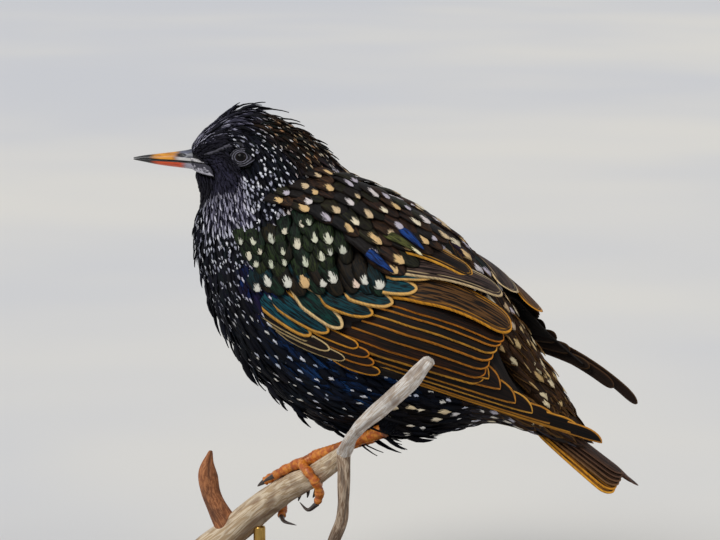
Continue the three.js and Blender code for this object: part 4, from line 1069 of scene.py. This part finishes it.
def makeWing(sideName, side, flightMaterial, material, softMaterial):
    dice = np.random.default_rng(21 if side > 0 else 22)
    far = side < 0
    # core: between its low and its high angle, drawn in at both as the fourth power of the distance from
    # the middle, with an inner surface behind it
    core = wings["core"]
    share = np.linspace(0, len(wingCore) - 1, core["lengths"])
    x, low, high, outer, inner = (v[:, None] for v in np.moveaxis(smoothRows(wingCore, share), -1, 0))
    t = np.linspace(0, 1, core["sides"])
    drawnIn = core["sunk"] + core["edgeSunk"] * (2 * t - 1) ** core["steepness"]
    over = wingPoint(x, mixed(low, high, t), outer - drawnIn, side)
    under = wingPoint(x, mixed(low, high, t[::-1]), inner, side)
    ringPiece("wingCore_" + sideName, np.concatenate([over, under], 1), softMaterial,
              "wing_feathers", ["wing_" + sideName])
    for name, tier in wings["tiers"].items():
        count = tier["count"]
        places = [tierPlaces(tier[key], count) for key in ("roots", "middles", "tips")]
        width, form = tier["width"], dict(wings["forms"][tier["form"]])
        blade = wings["farBlade"] if far and name == "primaries" else None
        if blade:
            width = blade["width"]
            places[1] = places[1] + blade["middlesBy"]
            places[2] = places[2] + blade["tipsBy"]
            form.update(blade["form"])
        # each feather of a tier lies a little deeper than the one before it
        sink = tier.get("sink", 0) * np.arange(count)
        stops, ups = wingStops(places, [lift - sink for lift in tier["lifts"]], side)
        if blade:
            ups[:, 2] = ups[:, 1]
        length = np.linalg.norm(stops[:, 2] - stops[:, 0], axis=-1)
        form["tilt"] = -tier["tilt"] * side * (wings["farTilt"] if far else 1)
        form["skew"] = form.get("skew", 0) * max(side, 0)
        half = np.interp(np.linspace(0, 1, count), np.linspace(0, 1, len(width)), width) / 2
        marks = wingMarks(name, count, length, dice)
        if far and name in ("primaries", "secondaries"):
            for key, (code, part) in wings["farTones"].items():
                marks[key] = mixed(marks[key], light(code), part)
        finish = material if tier["form"] == "covert" else flightMaterial
        wingPiece(f"{name}_{sideName}", stops, ups, half, tier.get("pointed", 0.0), form, marks, finish)
    accents = wings["accents"]
    for kind in ("blue", "olive"):
        places = np.moveaxis(np.array(accents[kind]), 1, 0)
        stops, ups = wingStops(places, accents["lifts"], side)
        marks = wingMarks(kind, len(stops), accents["length"], dice)
        wingPiece(f"{kind}_{sideName}", stops, ups, accents["width"] / 2, accents["pointed"],
                  wings["forms"]["small"], marks, material)
    scatter, plain = wings["scatter"], wings["plain"]
    form = wings["forms"]["small"] | {"tilt": -7 * side}
    for kind, group in wings["smallKinds"].items():
        for number, (first, bend, last, count, length, width, lift) in enumerate(group["rows"]):
            for spotted in (True, False):
                tips = tierPlaces([first, bend, last], 2 * count - 1)[(0 if spotted else 1)::2]
                count = len(tips)
                lie = np.array(group["lie"])
                tips = tips + dice.normal(0, scatter["tip"], tips.shape)
                tips = tips + lie * (0 if spotted else plain["reach"])
                way = lie + dice.normal(0, scatter["lie"], tips.shape)
                roots = tips - length * way
                middles = (roots + tips) / 2 + dice.normal(0, scatter["middle"], tips.shape)
                high = lift - (0 if spotted else plain["lower"])
                stops, ups = wingStops([roots, middles, tips], [-1.4, high * 0.75, high], side)
                half = width / 2 * dice.uniform(0.88, 1.1, count)
                marks = wingMarks(kind, count, length, dice, spotted)
                wingPiece(f"{kind}{number}{'spotted' if spotted else 'plain'}_{sideName}", stops, ups, half,
                          group["pointed"], form, marks, material)
    print("wing", sideName)


# Tail: its feathers to either side, folded like a roof. The tips are drawn back by the notch in the
# middle and, on the near side, by the square of the share outwards; those past the corner reach on
tail = {
    "perSide": 6, "root": [56, 3.2, 73], "tip": [92.8, 9, 50.5], "fall": 5.8, "farFall": 0.08, "notch": 2.5,
    "nearNotch": 4.0, "corner": 3.2, "cornerFrom": 0.75, "width": 9, "fold": 26, "farFold": 10,
    "pointed": 0.2, "length": 42.0,
    "form": {"steps": 24, "across": 8, "thick": 0.4, "camber": 0.014, "rounded": 1.2, "crowding": 1.7},
}


def makeTail(material):
    # feather i of a side goes from root to tip, lower and further out by its share t
    stops, ups = [], []
    rootX, rootY, rootZ = tail["root"]
    tipX, tipY, tipZ = tail["tip"]
    t = (np.arange(tail["perSide"]) + 0.5) / tail["perSide"]
    for side in sideSigns.values():
        fall = tail["fall"] * (t + (tail["farFall"] if side < 0 else 0))
        notch = tail["notch"] * (1 - t) - tail["corner"] * np.maximum(0, t - tail["cornerFrom"])
        notch = notch + (tail["nearNotch"] * t * t if side > 0 else 0)
        root = np.stack([np.full(len(t), rootX), -side * rootY * t, rootZ - fall * 0.3], -1)
        tip = np.stack([tipX - notch, -side * tipY * t, tipZ - fall], -1)
        middle = (root + tip) / 2 * [1, 1.15, 1]
        roll = np.radians(tail["fold"] if side > 0 else tail["farFold"]) * t * side
        up = unit(np.stack([np.full(len(t), 0.54), -np.sin(roll), 0.84 * np.cos(roll)], -1))
        stops.append(np.stack([root, middle, tip], 1))
        ups.append(np.stack([up, up, up], 1))
    stops, ups = np.concatenate(stops), np.concatenate(ups)
    marks = wingMarks("tail", len(stops), tail["length"], np.random.default_rng(31))
    featherPiece("tailFeathers", stops, ups, tail["width"] / 2, tail["pointed"], tail["form"],
                 sheetMap(len(stops), 4), marks, material, "wing_feathers", ["tail"], 0.23)
    print("tail")


# Bill: x, upper edge, line between the mandibles, lower edge and half width, in the head's frame
bill = {
    "rows": [[-54.2, 152.0, 146.5, 143.4, 4.6], [-57.9, 150.6, 146.7, 144.2, 3.2],
             [-62, 149.9, 147.0, 144.7, 2.75], [-68, 149.2, 147.25, 145.5, 2.05],
             [-73, 148.6, 147.5, 146.5, 1.2], [-76.4, 147.95, 147.6, 147.2, 0.4]],
    "gap": 0.2, "rings": 90, "sides": 32, "darkTip": 6.6, "upperEnd": 14.4, "lowerEnd": 16.4,
    "nostril": {"x": -60.6, "height": 148.9, "length": 1.5, "tall": 0.5, "deep": 0.55},
}


def makeBill():
    # each mandible is a half round over its flat face on the gape line, drawn through the rows
    paint = Paint("horn", roughness=0.36, coat=0.15, coatRoughness=0.25)
    plus, minus, times, easing, blended = paint.plus, paint.minus, paint.times, paint.easing, paint.blended
    fromTip, lower, dark, fromLine = (paint.read(key) for key in ("fromTip", "lower", "dark", "fromLine"))
    fine = paint.grains(paint.objectPlace(), 900.0, 4.0, 0.3, (0.25, 1.0, 1.0))
    place = plus(fromTip, times(minus(fine, 0.5), 3.0))
    orange, deeper = blended(lower, "dc9420", "dd5216"), blended(lower, "b8741c", "c0380f")
    orange = blended(easing(fine, 0.4, 0.68), orange, deeper)
    colour = blended(easing(place, bill["darkTip"] - 1.8, bill["darkTip"] + 1.6), "12100d", orange)
    streaked = easing(fine, 0.4, 0.62)
    base = blended(lower, blended(streaked, "33343f", "5c5f70"), blended(streaked, "77727e", "aba7b2"))
    end = plus(bill["upperEnd"], times(lower, bill["lowerEnd"] - bill["upperEnd"]))
    colour = blended(easing(minus(place, end), -1.4, 1.6), colour, base)
    # a painted highlight as a pale edge over the gape line at the base, and a black line along the whole gape
    rim = times(times(easing(fromLine, 1.5, 1.15), minus(1.0, lower)), easing(fromTip, 13.0, 15.5))
    colour = blended(easing(fromLine, 0.5, 0.3), blended(rim, colour, "c4c1bd"), "12100d")
    # the nostril's dent is darkened to near-black: painted shade in its hollow
    material = paint.painted(blended(dark, colour, "0d0a09"), fine, 0.25, 0.15)
    rows = smoothRows(bill["rows"], np.linspace(0, len(bill["rows"]) - 1, bill["rings"]))
    x, top, line, low, half = np.moveaxis(rows, -1, 0)
    half = np.append(half[:-1], 0.12)
    arc = np.linspace(0, np.pi, bill["sides"])
    nostril = bill["nostril"]
    for name, edge, sign in (("upper", top, 1), ("lower", low, -1)):
        start = line + sign * bill["gap"] / 2
        height = np.maximum(0.15, np.abs(edge - start))
        left = half[:, None] * np.cos(arc)
        up = start[:, None] + sign * height[:, None] * np.sin(arc) ** 0.85
        inside = np.linspace(-0.8, 0.8, 9)[None, :] * half[:, None]
        left = np.concatenate([left, inside], 1)
        up = np.concatenate([up, start[:, None] + 0 * inside], 1)
        along = np.broadcast_to(x[:, None], left.shape)
        fromLine = np.abs(up - line[:, None])
        dent = np.zeros(left.shape)
        if sign > 0:
            away = (((along - nostril["x"]) / nostril["length"]) ** 2
                    + ((up - nostril["height"]) / nostril["tall"]) ** 2)
            dent = np.exp(-away**2) * (np.abs(left) > 0.5)
            left = left - np.sign(left) * dent * nostril["deep"]
        ringPiece("bill_" + name + "_horn", turned(along, left, up), material, "bill", ["bill_" + name],
                  fromTip=along - x[-1], lower=float(sign < 0), dark=np.clip(dent * 1.3, 0, 1),
                  fromLine=fromLine)
    print("bill")


# Skin at the corner of the mouth, a fold over the eye, and a pale strip over the gape that is a painted
# highlight:
# each strip's upper and lower edge, x and height in the head's own frame, how high it stands and its two
# tones
face = {
    # the pale strip over the gape line is a painted highlight
    "gapeHighlight": {"upper": [[-57.4, 148.2], [-55.2, 148.0], [-52.9, 147.3]],
                 "lower": [[-57.4, 147.15], [-55.2, 147.1], [-52.6, 147.0]],
                 "rise": 0.5, "shade": 0.0, "tones": ["8f8c90", "d6d3d0"]},
    "mouthLine": {"upper": [[-57.4, 147.2], [-55.0, 147.15], [-52.3, 147.0]],
                  "lower": [[-57.4, 146.7], [-55.0, 146.7], [-52.0, 146.6]],
                  "rise": 0.3, "shade": 0.0, "tones": ["0b0a0a", "141213"]},
    "mouthSkin": {"upper": [[-57.4, 146.75], [-54.5, 146.75], [-52.2, 146.65], [-50.6, 145.3],
                            [-49.9, 143.4]],
                  "lower": [[-57.4, 144.1], [-55.5, 143.8], [-53.6, 143.4], [-51.8, 143.1], [-49.8, 142.9]],
                  "rise": 0.45, "shade": 0.35, "tones": ["33313a", "bab7bf"]},
    "browFold": {"upper": [[-53.2, 149.9], [-49.0, 151.6], [-44.6, 153.7], [-41.2, 154.3], [-38.9, 152.9]],
                 "lower": [[-53.0, 149.3], [-48.6, 150.3], [-44.2, 152.1], [-41.2, 152.7], [-38.5, 151.5]],
                 "rise": 0.7, "shade": -0.3, "tones": ["131217", "403e48"]},
}


# Nearest place and angle on the skin's left half to points given by x and height in the head's frame
def skinBeside(x, z):
    places, angles = np.meshgrid(np.linspace(0, 3, 301), np.radians(np.linspace(15, 165, 301)), indexing="ij")
    gridX, _, gridZ, _ = sectionPoint(places, angles)
    away = (gridX.ravel()[None] - x.ravel()[:, None]) ** 2 + (gridZ.ravel()[None] - z.ravel()[:, None]) ** 2
    nearest = away.argmin(1)
    return places.ravel()[nearest].reshape(x.shape), angles.ravel()[nearest].reshape(x.shape)


# Strips of bare skin: outside between the two edges, higher in the middle, and back on the inside
def makeFace():
    for name, strip in face.items():
        paint = Paint(name, roughness=0.6, specular=0.3)
        fine = paint.grains(paint.objectPlace(), 1100.0, 4.0, 0.5, (0.4, 1.0, 1.0))
        pale = paint.plus(fine, paint.times(paint.minus(paint.read("low"), 0.55), strip["shade"]))
        colour = paint.blended(paint.easing(pale, 0.4, 0.62), *strip["tones"])
        material = paint.painted(colour, fine, 0.7, 0.2)
        share = np.linspace(0, 1, 40)
        upper, lower = (smoothRows(strip[key], share * (len(strip[key]) - 1))[:, None]
                        for key in ("upper", "lower"))
        across = np.linspace(0, 1, 9)[None, :, None]
        middle = mixed(upper, lower, across)
        place, angle = skinBeside(middle[..., 0], middle[..., 1])
        ends = np.sqrt(np.clip(1 - np.abs(2 * share - 1) ** 8, 0, 1))[:, None]
        rise = strip["rise"] * ends * (1 - 0.7 * (2 * across[..., 0] - 1) ** 4)
        for sideName, side in sideSigns.items():
            outside = onSkin(place, angle * side, rise)
            inside = onSkin(place, angle * side, -0.6 - 0 * rise)[:, ::-1]
            rings = np.concatenate([outside, inside], 1)
            low = np.concatenate([across[0, :, 0], across[0, ::-1, 0]])[None]
            ringPiece(f"{name}_{sideName}", rings, material, "bill", low=low)
    print("face")


# A ball with a bulge at the front, whose colours go by the distance from the middle of the front; the
# lids' rim, a thin round ring that lies on the ball; and the lids, which fall away from it outwards
def makeEyes():
    paint = Paint("wetEye", roughness=0.14, coat=0.03, coatRoughness=0.05, specular=0.1)
    facing = paint.read("fromPupil")
    iris = paint.blended(paint.grains(paint.objectPlace(), 2500.0, 3.0), "080606", "1a130f")
    colour = paint.blended(paint.easing(facing, 1.0, 1.2), (0.002, 0.002, 0.002, 1), iris)
    colour = paint.blended(paint.easing(facing, 1.65, 1.85), colour, (0.012, 0.012, 0.014, 1))
    material = paint.painted(colour)
    paint = Paint("lid", roughness=0.6, specular=0.3)
    fine = paint.grains(paint.objectPlace(), 1800.0, 4.0)
    ridge = paint.plus(paint.read("ridge"), paint.times(paint.minus(fine, 0.5), 0.9))
    # pale where the ridges run, and lighter towards the rear corner as a painted highlight
    colour = paint.blended(paint.easing(ridge, 0.3, 0.95), "0e0d11", "6d6b77")
    lidMaterial = paint.painted(colour, fine, 0.8, 0.2)
    for sideName, side in sideSigns.items():
        centre, out = eyeCentres[side]
        forward = unit(turned(-60.0, 0.0, 150.0) - turned(-40.0, 0.0, 150.0))
        forward = unit(forward - out * (forward @ out))
        up = np.cross(forward, out) * side
        polar = np.linspace(0.02, np.pi - 0.02, 40)[:, None]
        angle = fullRound(48)[None, :]
        radius = eye["radius"] + eye["bulge"] * np.exp(-(polar / 0.5) ** 2)
        ball = (centre + (radius * np.cos(polar))[..., None] * out
                + (radius * np.sin(polar) * np.cos(angle))[..., None] * forward
                + (radius * np.sin(polar) * np.sin(angle))[..., None] * up)
        fromPupil = np.where(polar < 1.6, radius * np.sin(polar), 9)
        ringPiece("eyeball_" + sideName, ball, material, "eyes", ["eye_" + sideName], fromPupil=fromPupil)
        turn = fullRound(96)[:, None]
        across, over = np.cos(turn), eye["opening"] * np.sin(turn)
        flat = across[..., None] * forward + over[..., None] * up
        shorter = np.sqrt(across ** 2 + over ** 2)
        section = fullRound(10)[None, :]
        reach = eye["rim"] + eye["rimRadius"] * np.cos(section)
        height = np.sqrt(eye["radius"] ** 2 - (eye["rim"] * shorter) ** 2) + 0.1
        height = height + eye["rimRadius"] * np.sin(section)
        rim = centre + flat * reach[..., None] + height[..., None] * out
        loopPiece("lidRim_" + sideName, rim, lidMaterial, "plumage", ridge=0.8)
        # from the rim outwards with two rings of ridges, and back underneath
        t = np.concatenate([np.linspace(0, 1, 17), [1.0, 0.5, 0.0]])[None, :]
        rear, front = np.maximum(0, -np.cos(turn - 0.12)) ** 14, np.maximum(0, across) ** 10
        outer = eye["outer"] + eye["rearCorner"] * rear + eye["frontCorner"] * front
        reach = eye["inner"] + (outer - eye["inner"]) * t
        waves = 0.5 + 0.5 * np.cos(2 * np.pi * (t * 2.2 - 0.1))
        under = np.arange(20)[None, :] >= 17
        height = eye["peak"] - eye["falling"] * (reach * shorter) ** 2 + np.where(under, -0.6, 0.16 * waves)
        lids = centre + flat * reach[..., None] + height[..., None] * out
        # pale on the ridges, and brighter towards the rear corner: a painted highlight there
        ridge = np.where(under, 0, waves) * (0.75 + 0.25 * np.maximum(0, -across))
        loopPiece("lids_" + sideName, lids, lidMaterial, "plumage", ridge=ridge)
    print("eyes")


# Branch: each length's route and radii repeat the solid's
branch = {
    "limb": {"route": [[-58.5, 0, 11], [-45.4, 1.6, 21.8], [-32.9, 0.8, 32.3], [-23.9, -2.3, 38.3],
                       [-14.2, -7.3, 43.6], [-5.8, -12.8, 49.0], [0.8, -17.2, 54.4]],
             "radii": [5.3, 5.0, 4.8, 4.5, 4.0, 3.3, 2.6], "tones": ["d6c4a8", "b49a78", "7a5c44"]},
    "twig": {"route": [[0.3, -16.9, 54.0], [6.1, -24.4, 60.9], [11.6, -29.8, 66.0], [21.2, -34.8, 73.9],
                       [31.4, -39.7, 82.4], [39.0, -42.2, 90.6]],
             "radii": [2.4, 2.0, 2.3, 2.7, 2.8, 2.2], "tones": ["e0dbd3", "bcab98", "84705f"]},
    "fork": {"route": [[0.3, -16.9, 54.0], [0.9, -17.8, 46.9], [0.6, -17.9, 38.6], [-0.4, -17.2, 31.7],
                       [-3.2, -17.1, 24.9], [-5.2, -17.0, 18.6]],
             "radii": [2.3, 2.0, 2.0, 2.1, 2.1, 2.0], "tones": ["b8a48c", "80664e", "44342a"]},
    "stub": {"route": [[-46.5, 1.4, 21.0], [-50.9, 1.1, 28.5], [-53.3, 0.9, 34.5], [-54.2, 0.6, 41.0],
                       [-53.1, 0.6, 48.4]],
             "radii": [4.4, 3.7, 3.5, 3.4, 0.8], "tones": ["b4764a", "86502e", "402418"]},
    "ringsPerMillimetre": 3.0, "sides": 64, "relief": 0.32,
}


# Place beside the limb at a share of its length: an angle round it from above to the left, and a
# distance from its bark
def besideLimb(share, angle, distance):
    route, step = branch["limb"]["route"], 1e-3
    centre = alongRoute(route, share)
    ahead, behind = (alongRoute(route, np.clip(share + by, 0, 1)) for by in (step, -step))
    way = unit(ahead - behind)
    up = unit(np.array([0, 0, 1.0]) - way * way[..., 2:])
    left = np.cross(up, way)
    left = np.where(left[..., 1:2] > 0, -left, left)
    reach = alongValues(branch["limb"]["radii"], share) + distance
    angle = np.radians(angle)
    return centre + up * (reach * np.cos(angle))[..., None] + left * (reach * np.sin(angle))[..., None]


def barkMaterial(name, tones):
    paint = Paint(name, roughness=0.85)
    grain = paint.grains(paint.mapPlace("OFBake"), 8.0, 8.0, 0.8, (5.0, 1.6, 1.0))
    patches = paint.grains(paint.objectPlace(), 150.0, 7.0, 0.6)
    colour = paint.blended(paint.easing(grain, 0.42, 0.58), tones[1], tones[0])
    colour = paint.blended(paint.times(paint.easing(patches, 0.5, 0.68), 0.5), colour, tones[2])
    # darker where the grain lies low, in the grooves: painted shade
    colour = paint.blended(paint.times(paint.easing(paint.read("height"), -0.2, -1.2), 0.6), colour, tones[2])
    return paint.painted(colour, paint.plus(grain, patches), 0.8, 0.4)


def makeBranch():
    # a tube along each route, its surface moved by long ripples in the grain's direction and a few knots
    for seed, name in enumerate(("limb", "twig", "fork", "stub")):
        part = branch[name]
        route = np.array(part["route"], float)
        length = np.linalg.norm(np.diff(route, axis=0), axis=1).sum()
        count = int(length * branch["ringsPerMillimetre"])
        share = np.linspace(0, 1, count)
        centres = alongRoute(route, share)
        radii = alongValues(part["radii"], share)
        angle = fullRound(branch["sides"])
        grid = [share[:, None] * length * 0.22, 3.2 * np.cos(angle), 3.2 * np.sin(angle)]
        grid = np.stack(np.broadcast_arrays(*grid), -1)
        grain = ripples(grid.reshape(-1, 3), 26, 40 + seed, 1.6, 8).reshape(grid.shape[:2])
        lumps = ripples(grid.reshape(-1, 3) * [1.6, 1, 1], 8, 60 + seed, 9, 22).reshape(grid.shape[:2])
        swell = 1 + (branch["relief"] * (0.55 * grain + 0.7 * lumps) - 0.1) / np.maximum(radii, 2)[:, None]
        ends = ease(0, 0.6, share * length) * ease(0, 0.6, (1 - share) * length)
        radii = radii * mixed(0.75, 1, ends)
        rings = tubeRings(centres, radii, branch["sides"], (0.3, 1, 0.1), swell)
        ringPiece("bark_" + name, rings, barkMaterial("bark_" + name, part["tones"]), "bark",
                  ["perch_" + name], height=grain)
    print("branch")


# Feet: each toe's stops are a share of the limb, an angle round it and a distance from its bark;
# the last two carry the claw. Hidden claws are drawn over the short share of their way only
feet = {
    "toes": {
        "left": [
            [[0.60, 12, 1.65], [0.54, 20, 1.65], [0.47, 26, 1.65], [0.40, 34, 1.9], [0.365, 56, 1.4]],
            [[0.60, -24, 1.65], [0.54, -58, 1.65], [0.49, -96, 1.65], [0.45, -128, 1.9], [0.455, -160, 2.0]],
            [[0.65, -40, 1.65], [0.63, -84, 1.65], [0.60, -128, 1.65], [0.59, -155, 2.2], [0.605, -182, 3.0]],
            [[0.70, 42, 1.65], [0.75, 88, 1.65], [0.757, 132, 1.75], [0.728, 163, 3.6], [0.693, 165, 6.3],
             [0.618, 165, 6.3], [0.556, 166, 2.1]],
        ],
        "right": [
            [[0.44, -8, 1.65], [0.40, -4, 1.65], [0.37, 2, 1.65], [0.34, 10, 1.5], [0.32, 20, 1.1]],
            [[0.43, -44, 1.65], [0.37, -88, 1.65], [0.335, -130, 1.65], [0.335, -158, 1.9], [0.37, -182, 4.0],
             [0.45, -182, 7.6]],
            [[0.52, -60, 1.85], [0.53, -100, 1.85], [0.525, -136, 2.0], [0.51, -158, 2.0]],
        ],
    },
    "toeRadius": 1.35, "clawRadius": 0.8625, "shankRadii": [2.5, 1.75, 1.65, 2.1], "scute": 1.5, "step": 0.35,
    "shown": [("left", 3), ("right", 1)], "short": 0.55, "knuckle": [2.5, 2.1, 2.1], "knuckleDrop": 0.6,
}


# Radius with scutes: along the length a saw wave that swells and drops back once per scute
def scuted(length, count, radii, depth):
    share = np.linspace(0, 1, count)
    radius = alongValues(radii, share)
    saw = (share * length / feet["scute"]) % 1.0
    return radius * (1 + depth * (saw**0.7 - 0.5)), saw


def makeLegs():
    paint = Paint("legScales", roughness=0.45, coat=0.1, coatRoughness=0.3)
    fine = paint.grains(paint.objectPlace(), 700.0, 5.0, 0.4)
    colour = paint.blended(paint.easing(fine, 0.35, 0.65), "b4581a", "dc8a30")
    colour = paint.blended(paint.times(paint.easing(paint.read("saw"), 0.22, 0.0), 0.6), colour, "5a2a12")
    patches = paint.easing(paint.grains(paint.objectPlace(), 220.0, 3.0), 0.5, 0.66)
    material = paint.painted(paint.blended(paint.times(patches, 0.6), colour, "6a2f14"), fine, 0.5, 0.2)
    paint = Paint("claw", roughness=0.3, coat=0.2, coatRoughness=0.2)
    fine = paint.grains(paint.objectPlace(), 600.0, 3.0)
    clawMaterial = paint.painted(paint.blended(fine, "241b17", "4f443d"))
    for sideName in sideSigns:
        heel, ankle = (np.array(legs[sideName][key], float) for key in ("heel", "ankle"))
        length = np.linalg.norm(ankle - heel)
        count = int(length / feet["step"])
        radii, saw = scuted(length, count, feet["shankRadii"], 0.07)
        centres = mixed(heel, ankle, np.linspace(0, 1, count)[:, None])
        rings = tubeRings(centres, radii, 20, (0, 1, 0))
        ringPiece("shankScales_" + sideName, rings, material, "legs", ["shank_" + sideName],
                  saw=saw[:, None])
        for number, stops in enumerate(feet["toes"][sideName]):
            placed = besideLimb(*np.array(stops, float).T)
            flesh, nail = np.vstack([ankle, placed[:-2]]), placed[-3:]
            length = np.linalg.norm(np.diff(flesh, axis=0), axis=1).sum()
            count = int(length / feet["step"]) + 8
            radii = [feet["toeRadius"] * (1.25 - 0.25 * k / len(flesh)) for k in range(len(flesh))]
            radii, saw = scuted(length, count, radii, 0.09)
            share = np.linspace(0, 1, count)
            # the toe swells at each joint, and closes over its end as a quarter round
            knots = 1 + 0.1 * np.cos(share * (len(flesh) - 1) * 2 * np.pi)
            closing = np.sqrt(np.clip(1 - ((share - 0.93) / 0.075).clip(0, 1) ** 2, 0.15, 1))
            rings = tubeRings(alongRoute(flesh, share), radii * knots * closing, 18, (0.3, 1, 0.2))
            nodes = ["foot_" + sideName] if number == 0 else []
            ringPiece(f"toe{number}_{sideName}", rings, material, "legs", nodes, saw=saw[:, None])
            share = np.linspace(0, 1, 30)
            reach = 1 if (sideName, number) in feet["shown"] else feet["short"]
            radii = feet["clawRadius"] * (1 - share) ** 0.7 + 0.06
            rings = tubeRings(alongRoute(nail, share * reach), radii, 14, (0.3, 1, 0.2))
            ringPiece(f"claw{number}_{sideName}", rings, clawMaterial, "legs")
        # knuckle pad where the toes meet: a ball a little longer along the branch
        polar = np.linspace(0.05, np.pi - 0.05, 20)[:, None]
        angle = fullRound(24)[None, :]
        ball = [np.cos(polar), np.sin(polar) * np.cos(angle), np.sin(polar) * np.sin(angle)]
        rings = np.stack(np.broadcast_arrays(*ball), -1) * feet["knuckle"]
        rings = rings + ankle - [0, 0, feet["knuckleDrop"]]
        ringPiece("knuckle_" + sideName, rings, material, "legs", saw=0.8)
    print("legs")


# Stand: the base's edge lists how far in from the radius and how high its profile runs; a rod has a
# place and a top, and its profile lists heights over the base and radii up to the rod's own
stand = {
    "radius": 52, "height": 12, "rods": {"front": [-36, 0.9, 24], "rear": [-5.2, -17.0, 18.3]},
    "edge": [[2.5, 0], [0.6, 0.25], [0, 1.4], [0, 6.0], [0.6, 7.2], [2.5, 8.2], [3.2, 9.2], [5.0, 9.6],
             [5.8, 11.0], [6.8, 11.8], [8, 12]],
    "collar": [[0, 3.6], [0.01, 3.6], [1.0, 3.4], [1.5, 2.8], [1.51, 2.0]], "rodRadius": 2.0, "rodTop": 1.7,
}


def makeStand():
    # base: a profile turned about the upright axis; rods: an upright tube each with a collar at its foot
    paint = Paint("waxedWood", roughness=0.35, coat=0.3, coatRoughness=0.25)
    grain = paint.grains(paint.objectPlace(), 60.0, 6.0, 1.5, (0.35, 3.0, 1.0))
    fine = paint.grains(paint.objectPlace(), 700.0, 3.0, 0.0, (0.1, 2.0, 1.0))
    colour = paint.blended(paint.easing(grain, 0.35, 0.65), "2a1710", "5a3520")
    colour = paint.blended(paint.times(paint.easing(fine, 0.5, 0.7), 0.4), colour, "1c0f0a")
    material = paint.painted(colour, fine, 0.2, 0.1)
    radius, height = stand["radius"], stand["height"]
    profile = [[0.3, 0]] + [[radius - inset, z] for inset, z in stand["edge"]] + [[0.3, height]]
    profile = smoothRows(profile, np.linspace(0, len(profile) - 1, 80))
    profile = np.clip(profile, [0.3, 0], [radius, height])
    out, z = profile[:, :1], profile[:, 1:]
    angle = fullRound(144)
    rings = np.stack(np.broadcast_arrays(out * np.cos(angle), out * np.sin(angle), z), -1)
    ringPiece("turnedBase", rings, material, "base_wood", ["stand_base"])
    paint = Paint("brass", roughness=0.28, metallic=1.0)
    fine = paint.grains(paint.objectPlace(), 900.0, 3.0, 0.0, (1.0, 1.0, 0.15))
    material = paint.painted(paint.blended(fine, "a8823e", "c9a35c"), fine, 0.15, 0.05)
    for name, (x, y, top) in stand["rods"].items():
        rod = [[height + rise, r] for rise, r in stand["collar"]]
        rod += [[(height + top) / 2, stand["rodRadius"]], [top - 0.6, stand["rodRadius"]]]
        rod += [[top, stand["rodTop"]]]
        z, r = np.array(rod).T
        centres = np.stack([np.full(len(z), x), np.full(len(z), y), z], -1)
        ringPiece("rodBrass_" + name, tubeRings(centres, r, 32, (1, 0, 0)), material, "rods",
                  ["stand_rod_" + name])
    print("stand")


# Camera, lights and floor
view = {
    "azimuth": 20, "elevation": 8, "aim": [0, 0, 112], "distance": 1500, "pixelsPerMillimetre": 3.05,
    "pictureWidth": 720, "filmWidth": 36, "floorHalf": 6000, "floorTones": ["dfdcd4", "cfd0d2"],
    "skyTone": "e2e4ea", "skyStrength": 0.62, "sunAngle": 0.55,
    "suns": [["key", -25, 48, 1.7], ["fill", 75, 30, 0.4]],
}


def makeView():
    turn, rise = np.radians(view["azimuth"]), np.radians(view["elevation"])
    forward = Vector((-np.sin(turn) * np.cos(rise), np.cos(turn) * np.cos(rise), -np.sin(rise)))
    camera = bpy.data.objects.new("camera", bpy.data.cameras.new("camera"))
    camera.data.sensor_width = view["filmWidth"]
    seen = view["pictureWidth"] / view["pixelsPerMillimetre"]
    camera.data.lens = view["filmWidth"] * view["distance"] / seen
    camera.data.clip_end = 20
    camera.location = (Vector(view["aim"]) - forward * view["distance"]) * millimetre
    camera.rotation_euler = forward.to_track_quat("-Z", "Y").to_euler()
    scene = bpy.context.scene
    scene.collection.objects.link(camera)
    scene.camera = camera
    scene.view_settings.view_transform = "Standard"
    # suns wide enough for soft shadows: name, azimuth and elevation that it shines from, and strength
    for name, azimuth, elevation, strength in view["suns"]:
        lamp = bpy.data.objects.new(name, bpy.data.lights.new(name, "SUN"))
        lamp.data.angle, lamp.data.energy = view["sunAngle"], strength
        a, e = np.radians(azimuth), np.radians(elevation)
        way = Vector((np.sin(a) * np.cos(e), -np.cos(a) * np.cos(e), np.sin(e)))
        lamp.location = way
        lamp.rotation_euler = way.to_track_quat("Z", "Y").to_euler()
        scene.collection.objects.link(lamp)
    world = bpy.data.worlds.new("sky")
    scene.world = world
    world.use_nodes = True
    sky = world.node_tree.nodes["Background"]
    sky.inputs[0].default_value = (*light(view["skyTone"]), 1)
    sky.inputs[1].default_value = view["skyStrength"]
    paint = Paint("paleFloor", roughness=0.9, specular=0.2)
    cloud = paint.easing(paint.grains(paint.objectPlace(), 1.6, 3.0), 0.35, 0.65)
    material = paint.painted(paint.blended(cloud, *view["floorTones"]))
    places = np.array([[0, 0], [1, 0], [1, 1], [0, 1]], float)
    corners = np.append((places * 2 - 1) * view["floorHalf"], np.zeros((4, 1)), 1)
    faceSets = [(np.array([[0, 1, 2, 3]]), {"OFBake": places[None]})]
    floor = addPiece("floor", corners, faceSets, material, {}, smooth=False)
    floor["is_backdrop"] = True
    print("view")


makeView()
makeSkin()
makeCoat()
flightMaterial = plumageMaterial("flightPlumage", (9.0, 2.2), 0.2, 0.5, 1.0, roughness=0.55, specular=0.1)
covertMaterial = plumageMaterial("covertPlumage", (9.0, 2.2), 0.2, 0.5, roughness=0.55, specular=0.1)
coreMaterial = makeCoreMaterial()
for sideName, side in sideSigns.items():
    makeWing(sideName, side, flightMaterial, covertMaterial, coreMaterial)
makeTail(flightMaterial)
makeBill()
makeFace()
makeEyes()
makeBranch()
makeLegs()
makeStand()

visualBox = [list(corner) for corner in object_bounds()]
boxes = {"cad": frameBox, "visual": visualBox}
{key: [[float(v) for v in corner] for corner in box] for key, box in boxes.items()}
